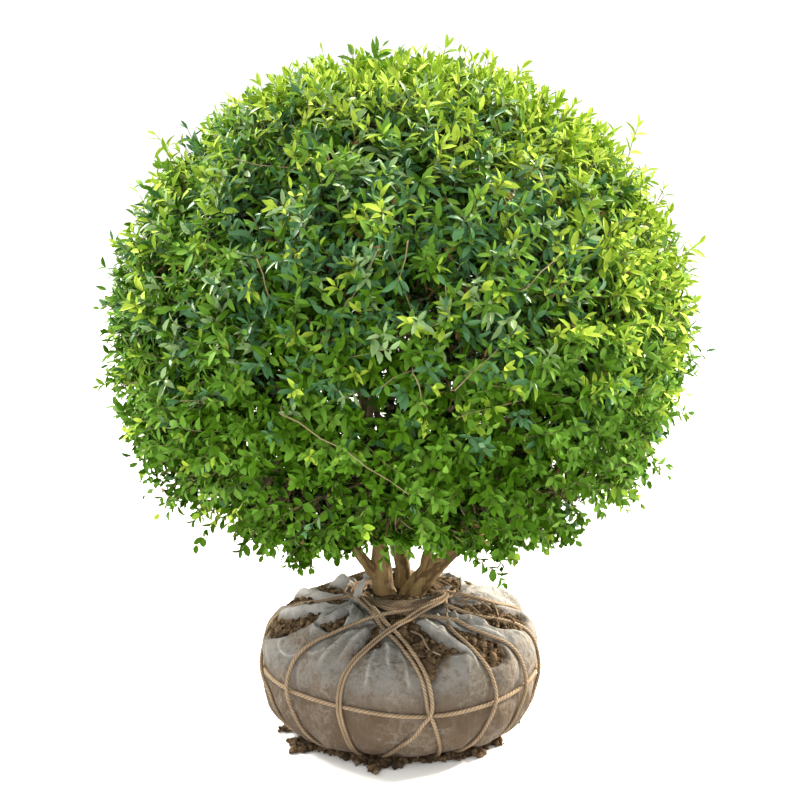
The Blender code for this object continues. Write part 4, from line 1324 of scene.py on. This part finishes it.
wood_old = plain_finish("twig_wood", (0.135, 0.086, 0.048), 0.8)
wood_young = plain_finish("twig_green", (0.190, 0.185, 0.070), 0.7)
wood_straw = plain_finish("twig_straw", (0.262, 0.204, 0.110), 0.8)
thick = [
    shoot_tubes(boughs, grow.uniform(0.0055, 0.0075, BOUGHS), 0.0036, 8),
    shoot_tubes(branches, grow.uniform(0.0029, 0.0036, BRANCHES), 0.0019, 6),
    shoot_tubes(twigs, grow.uniform(0.0016, 0.0019, TWIGS), 0.0011, 4),
]
for name, parts, finish in (
    ("crown_branches", thick, wood_old),
    ("spray_stems", [shoot_tubes(sprays[layer < 3], 0.0010, 0.0006, 3)], wood_young),
    ("whip_stems", [shoot_tubes(whips, 0.0013, 0.0006, 4)], wood_young),
    ("bare_twigs", [shoot_tubes(straws, 0.0013, 0.0007, 5)], wood_straw),
):
    make_piece(name, "bark", [finish], parts)

# Leaves: small, pointed, in opposite pairs that turn a quarter from one pair to the next,
# with a tuft at each tip. Each is folded along its midrib and arches down. New growth is
# lime, old leaves deep green, and some are waxy and pale. On top of that, lighter greens
# are painted light towards the sun, on top and at the sides, deeper greens are painted
# shade underneath and inside, and the blue-grey and pale greens are partly painted sky
# reflection.

PAIRS = 5
WHIP_PAIRS = 9
STRAW_PAIRS = 2
FULL_STATIONS = [(0.13, 0.50), (0.42, 1.0), (0.76, 0.76)]
SHORT_STATIONS = [(0.24, 0.84), (0.66, 0.86)]
PLAIN_STATIONS = [(0.45, 1.0)]


def leaf_blades(root, along, face, length, width, arch, fold, stations):
    """Points and faces of many leaves: a folded, arching blade with a point at each end."""
    side = np.cross(along, face)
    points = [root]
    for share, spread in stations:
        middle = root + along * (length * share)[:, None]
        middle = middle - face * (length * arch * share**2)[:, None]
        half = (width * 0.5 * spread)[:, None]
        out = side * np.cos(fold)[:, None] * half
        up = face * np.sin(fold)[:, None] * half
        points += [middle - out + up, middle, middle + out + up]
    points.append(root + along * length[:, None] - face * (length * arch)[:, None])
    points = np.stack(points, 1)
    each = points.shape[1]
    quads = [(a, a + 1, a + 4, a + 3) for row in range(1, each - 4, 3) for a in (row, row + 1)]
    tris = [(0, 2, 1), (0, 3, 2), (each - 4, each - 3, each - 1), (each - 3, each - 2, each - 1)]
    shift = (np.arange(len(root)) * each)[:, None, None]
    face_rows = [tris, quads] if quads else [tris]
    faces = [(np.array(rows) + shift).reshape(-1, len(rows[0])) for rows in face_rows]
    return points.reshape(-1, 3), faces


# Greens from deep to lime, dealt by tone: the darker carry painted shade and the lighter painted light,
# besides the leaves' own age and random tone
LEAF_COLOURS = {
    "leaf_deep": (0.018, 0.050, 0.002),
    "leaf_dark": (0.037, 0.102, 0.003),
    "leaf_mid": (0.063, 0.157, 0.006),
    "leaf_grass": (0.101, 0.230, 0.023),
    "leaf_warm": (0.160, 0.314, 0.042),
    "leaf_fresh": (0.268, 0.430, 0.040),
    "leaf_lime": (0.420, 0.565, 0.066),
    # Blue and pale: partly the leaves' own colour, partly painted sky reflection
    "leaf_blue": (0.062, 0.180, 0.060),
    "leaf_pale": (0.250, 0.390, 0.150),
    "leaf_dry": (0.260, 0.150, 0.065),
}
LEAF_STEPS = np.array([-0.42, -0.14, 0.16, 0.46, 0.78, 1.08])
BLUE, PALE, DRY = 7, 8, 9
SUN = unit(np.array([0.5, 0.25, 0.85]))
# Painted shade: the deeper layers of sprays get darker greens
LAYER_SHADES = [0.12, -0.08, -0.30, -0.60]
dress = np.random.default_rng(77)


def dress_shoots(paths, facing, low, tone, detail, pairs, bare, rng):
    """Leaves for many shoots: rows of place, blade, face, length, width, colour and detail."""
    count = len(paths)
    quarter = rng.uniform(0, 6.3, count)
    sky_side = unit(facing * 0.55 + UPWARD * (0.8 - 0.5 * low)[:, None])
    loose_face = (0.42 + 0.60 * low)[:, None]
    height = (paths[:, -1, 2] - 0.35) / 0.80
    small = smooth_steps((0.50 - height) / 0.40)
    top_side = smooth_steps((facing[:, 2] - 0.60) / 0.32)
    vigour = rng.uniform(0.75, 1.15, count)
    first = rng.uniform(*bare, count)
    side_start = np.where(facing[:, 0] < 0, 0.54, 0.30)
    open_side = smooth_steps((np.abs(facing[:, 0] + 0.06) - 0.56) / 0.25)
    open_side = open_side * smooth_steps((height - side_start) / 0.18)
    # New growth is lime; more of it is dealt towards the sun, on top and on the open sides, painted light
    # for leaves that glow with light through them
    young_and_lit = rng.random(count) < (
        0.10 + 0.20 * np.clip(facing @ SUN, 0, 1) + 0.16 * top_side + 0.28 * open_side
    )
    young_and_lit &= detail == 0
    # Waxy leaves are glossy; their blue-grey and pale greens, dealt more to the upper leaves, are partly
    # painted sky reflection
    waxy_share = (0.02 + 0.66 * smooth_steps((height - 0.25) / 0.5)) * (1 - 0.6 * open_side)
    waxy = (rng.random(count) < waxy_share) & ~young_and_lit
    pale = waxy & (rng.random(count) < 0.34) & (detail == 0) & (height > 0.36)
    brown_patch = wander(paths[:, -1], 0.055, 20.0) > 0.20
    dry = (rng.random(count) < 0.05 + 0.40 * brown_patch) & (detail > 0)
    rows = []
    for pair in range(pairs + 1):
        last = pair == pairs
        tip = pair >= pairs - 2
        place, along = path_place(paths, np.arange(count), first + (1 - first) * pair / pairs)
        helper = np.where(np.abs(along[:, 2:]) > 0.85, [[1.0, 0, 0]], [UPWARD])
        right = unit(np.cross(along, helper))
        other = np.cross(along, right)
        for half in (0, 1):
            turn = quarter + pair * math.pi / 2 + half * math.pi + rng.normal(0, 0.3, count)
            radial = right * np.cos(turn)[:, None] + other * np.sin(turn)[:, None]
            spread = rng.uniform(0.30, 0.75, count) if last else rng.uniform(0.65, 1.35, count)
            spread = spread - 0.15 * top_side - 0.15 * young_and_lit
            blade = along * np.cos(spread)[:, None] + radial * np.sin(spread)[:, None]
            blade = blade + rng.normal(0, 0.18, blade.shape)
            blade[:, 2] -= 0.12 + 0.25 * low
            blade = unit(blade)
            flat = along - blade * (along * blade).sum(1)[:, None]
            face = unit(flat) * 0.7 + sky_side * 0.45 + rng.normal(size=blade.shape) * loose_face
            face = unit(face - blade * (face * blade).sum(1)[:, None])
            grown = 0.74 if last or pair == 0 else 0.90 if pair == pairs - 1 else 1.0
            long = rng.uniform(0.023, 0.034, count) * (1 - small)
            long = long + rng.uniform(0.0165, 0.0235, count) * small
            long = long * grown * vigour
            slim = 0.37 * (1 - small) + 0.64 * small + rng.normal(0, 0.045, count)
            shade = tone + 0.10 * tip + young_and_lit * (0.78 if tip else 0.22)
            shade = shade + rng.normal(0, 0.13, count)
            slot = np.searchsorted(LEAF_STEPS, shade)
            slot = np.where(waxy & (slot > 0) & (slot < 5) & (rng.random(count) < 0.8), BLUE, slot)
            slot = np.where(pale & tip, PALE, slot)
            withered = dry & (rng.random(count) < 0.6)
            slot = np.where(withered, DRY, slot)
            long = np.where(withered, long * 0.6, long)
            here = rng.random(count) < (0.95 if pair > 1 else 0.68)
            rows.append([part[here] for part in (place, blade, face, long, long * slim, slot, detail)])
    return [np.concatenate([row[k] for row in rows]) for k in range(7)]


# Painted shade in deep hollows and painted light on sunlit swells of the crown: place,
# reach and how much darker or lighter
SHADE_AND_LIGHT_SPOTS = [
    ((-0.048, -0.314, 1.026), 0.095, -0.38), ((-0.169, -0.217, 1.058), 0.070, 0.14),
    ((-0.257, -0.296, 0.470), 0.105, 0.42), ((-0.051, -0.463, 0.632), 0.080, 0.14),
    ((-0.256, -0.393, 0.739), 0.100, -0.16), ((0.369, -0.291, 0.717), 0.090, -0.10),
    ((-0.445, -0.160, 0.720), 0.120, -0.18),
]


# Painted light and shade: a shoot's greens are lighter towards the sun, on top, at the rims and shoulders
# and on sunlit swells, darker underneath, in deeper layers, in sunk clumps and deep hollows; the rest
# differs at random
def shoot_light_tone(facing, layer_tone, clump, rng):
    sun_side = facing @ SUN
    tone = 0.40 * sun_side + 0.12 * np.clip(facing[:, 2], 0, 1) + 0.14 + layer_tone
    tone = tone + 0.24 * smooth_steps((facing[:, 2] - 0.72) / 0.22)
    tone = tone - 0.12 * smooth_steps((0.10 - facing[:, 2]) / 0.5)
    rim_glow = smooth_steps((np.abs(facing[:, 0]) - 0.50) / 0.3)
    rim_glow = rim_glow * smooth_steps((0.05 - facing[:, 2]) / 0.3)
    shoulder = smooth_steps((np.abs(facing[:, 0] + 0.04) - 0.45) / 0.35)
    shoulder = shoulder * smooth_steps((facing[:, 2] - np.where(facing[:, 0] < 0, 0.24, -0.02)) / 0.2)
    tone = tone + 0.20 * rim_glow + 0.18 * shoulder
    places = in_crown(facing, 1)
    for spot, reach, amount in SHADE_AND_LIGHT_SPOTS:
        tone = tone + amount * np.exp(-((np.linalg.norm(places - spot, axis=1) / reach) ** 2))
    return tone + 0.36 * clump + rng.normal(0, 0.16, len(facing))


leaf_sets = [
    dress_shoots(sprays, spray_facing, low,
                 shoot_light_tone(spray_facing, np.choose(layer, LAYER_SHADES), clump, dress),
                 layer, PAIRS, (0.20, 0.45), dress),
    dress_shoots(whips, whip_facing, whip_low,
                 shoot_light_tone(whip_facing, 0.20, np.zeros(WHIPS), dress),
                 np.zeros(WHIPS, int), WHIP_PAIRS, (0.25, 0.45), dress),
    dress_shoots(straws, straw_facing, np.zeros(STRAWS),
                 shoot_light_tone(straw_facing, 0.10, np.zeros(STRAWS), dress),
                 np.zeros(STRAWS, int), STRAW_PAIRS, (0.75, 0.90), dress),
]
place, blade, face, long, wide, slot, detail = (
    np.concatenate([leaf_set[k] for leaf_set in leaf_sets]) for k in range(7)
)
arch = dress.uniform(-0.05, 0.42, len(place))
fold = dress.uniform(0.05, 0.75, len(place))
WAXY_GLOSS, PLAIN_GLOSS = (0.36, 0.35), (0.5, 0.05)
leaf_finishes = [
    plain_finish(name, colour, *(WAXY_GLOSS if k in (BLUE, PALE) else PLAIN_GLOSS))
    for k, (name, colour) in enumerate(LEAF_COLOURS.items())
]
LEAF_PIECES = 6
turn = np.arctan2(place[:, 1], place[:, 0])
sector = np.floor((turn + math.pi) / (2 * math.pi) * LEAF_PIECES - 1e-9).astype(int)
for k in range(LEAF_PIECES):
    parts = []
    slots = {}
    for use, stations in (
        (detail == 0, FULL_STATIONS), (detail == 1, SHORT_STATIONS), (detail > 1, PLAIN_STATIONS)
    ):
        rows = (sector == k) & use
        parts.append(leaf_blades(
            *(part[rows] for part in (place, blade, face, long, wide, arch, fold)), stations))
        for face_set in parts[-1][1]:
            slots.setdefault(face_set.shape[1], []).append(
                np.repeat(slot[rows], len(face_set) // max(rows.sum(), 1)))
    slot_rows = np.concatenate([np.concatenate(s) for s in slots.values()])
    make_piece(f"leaves_{k + 1}", "foliage", leaf_finishes, parts, "crown" if k == 0 else None, slot_rows)
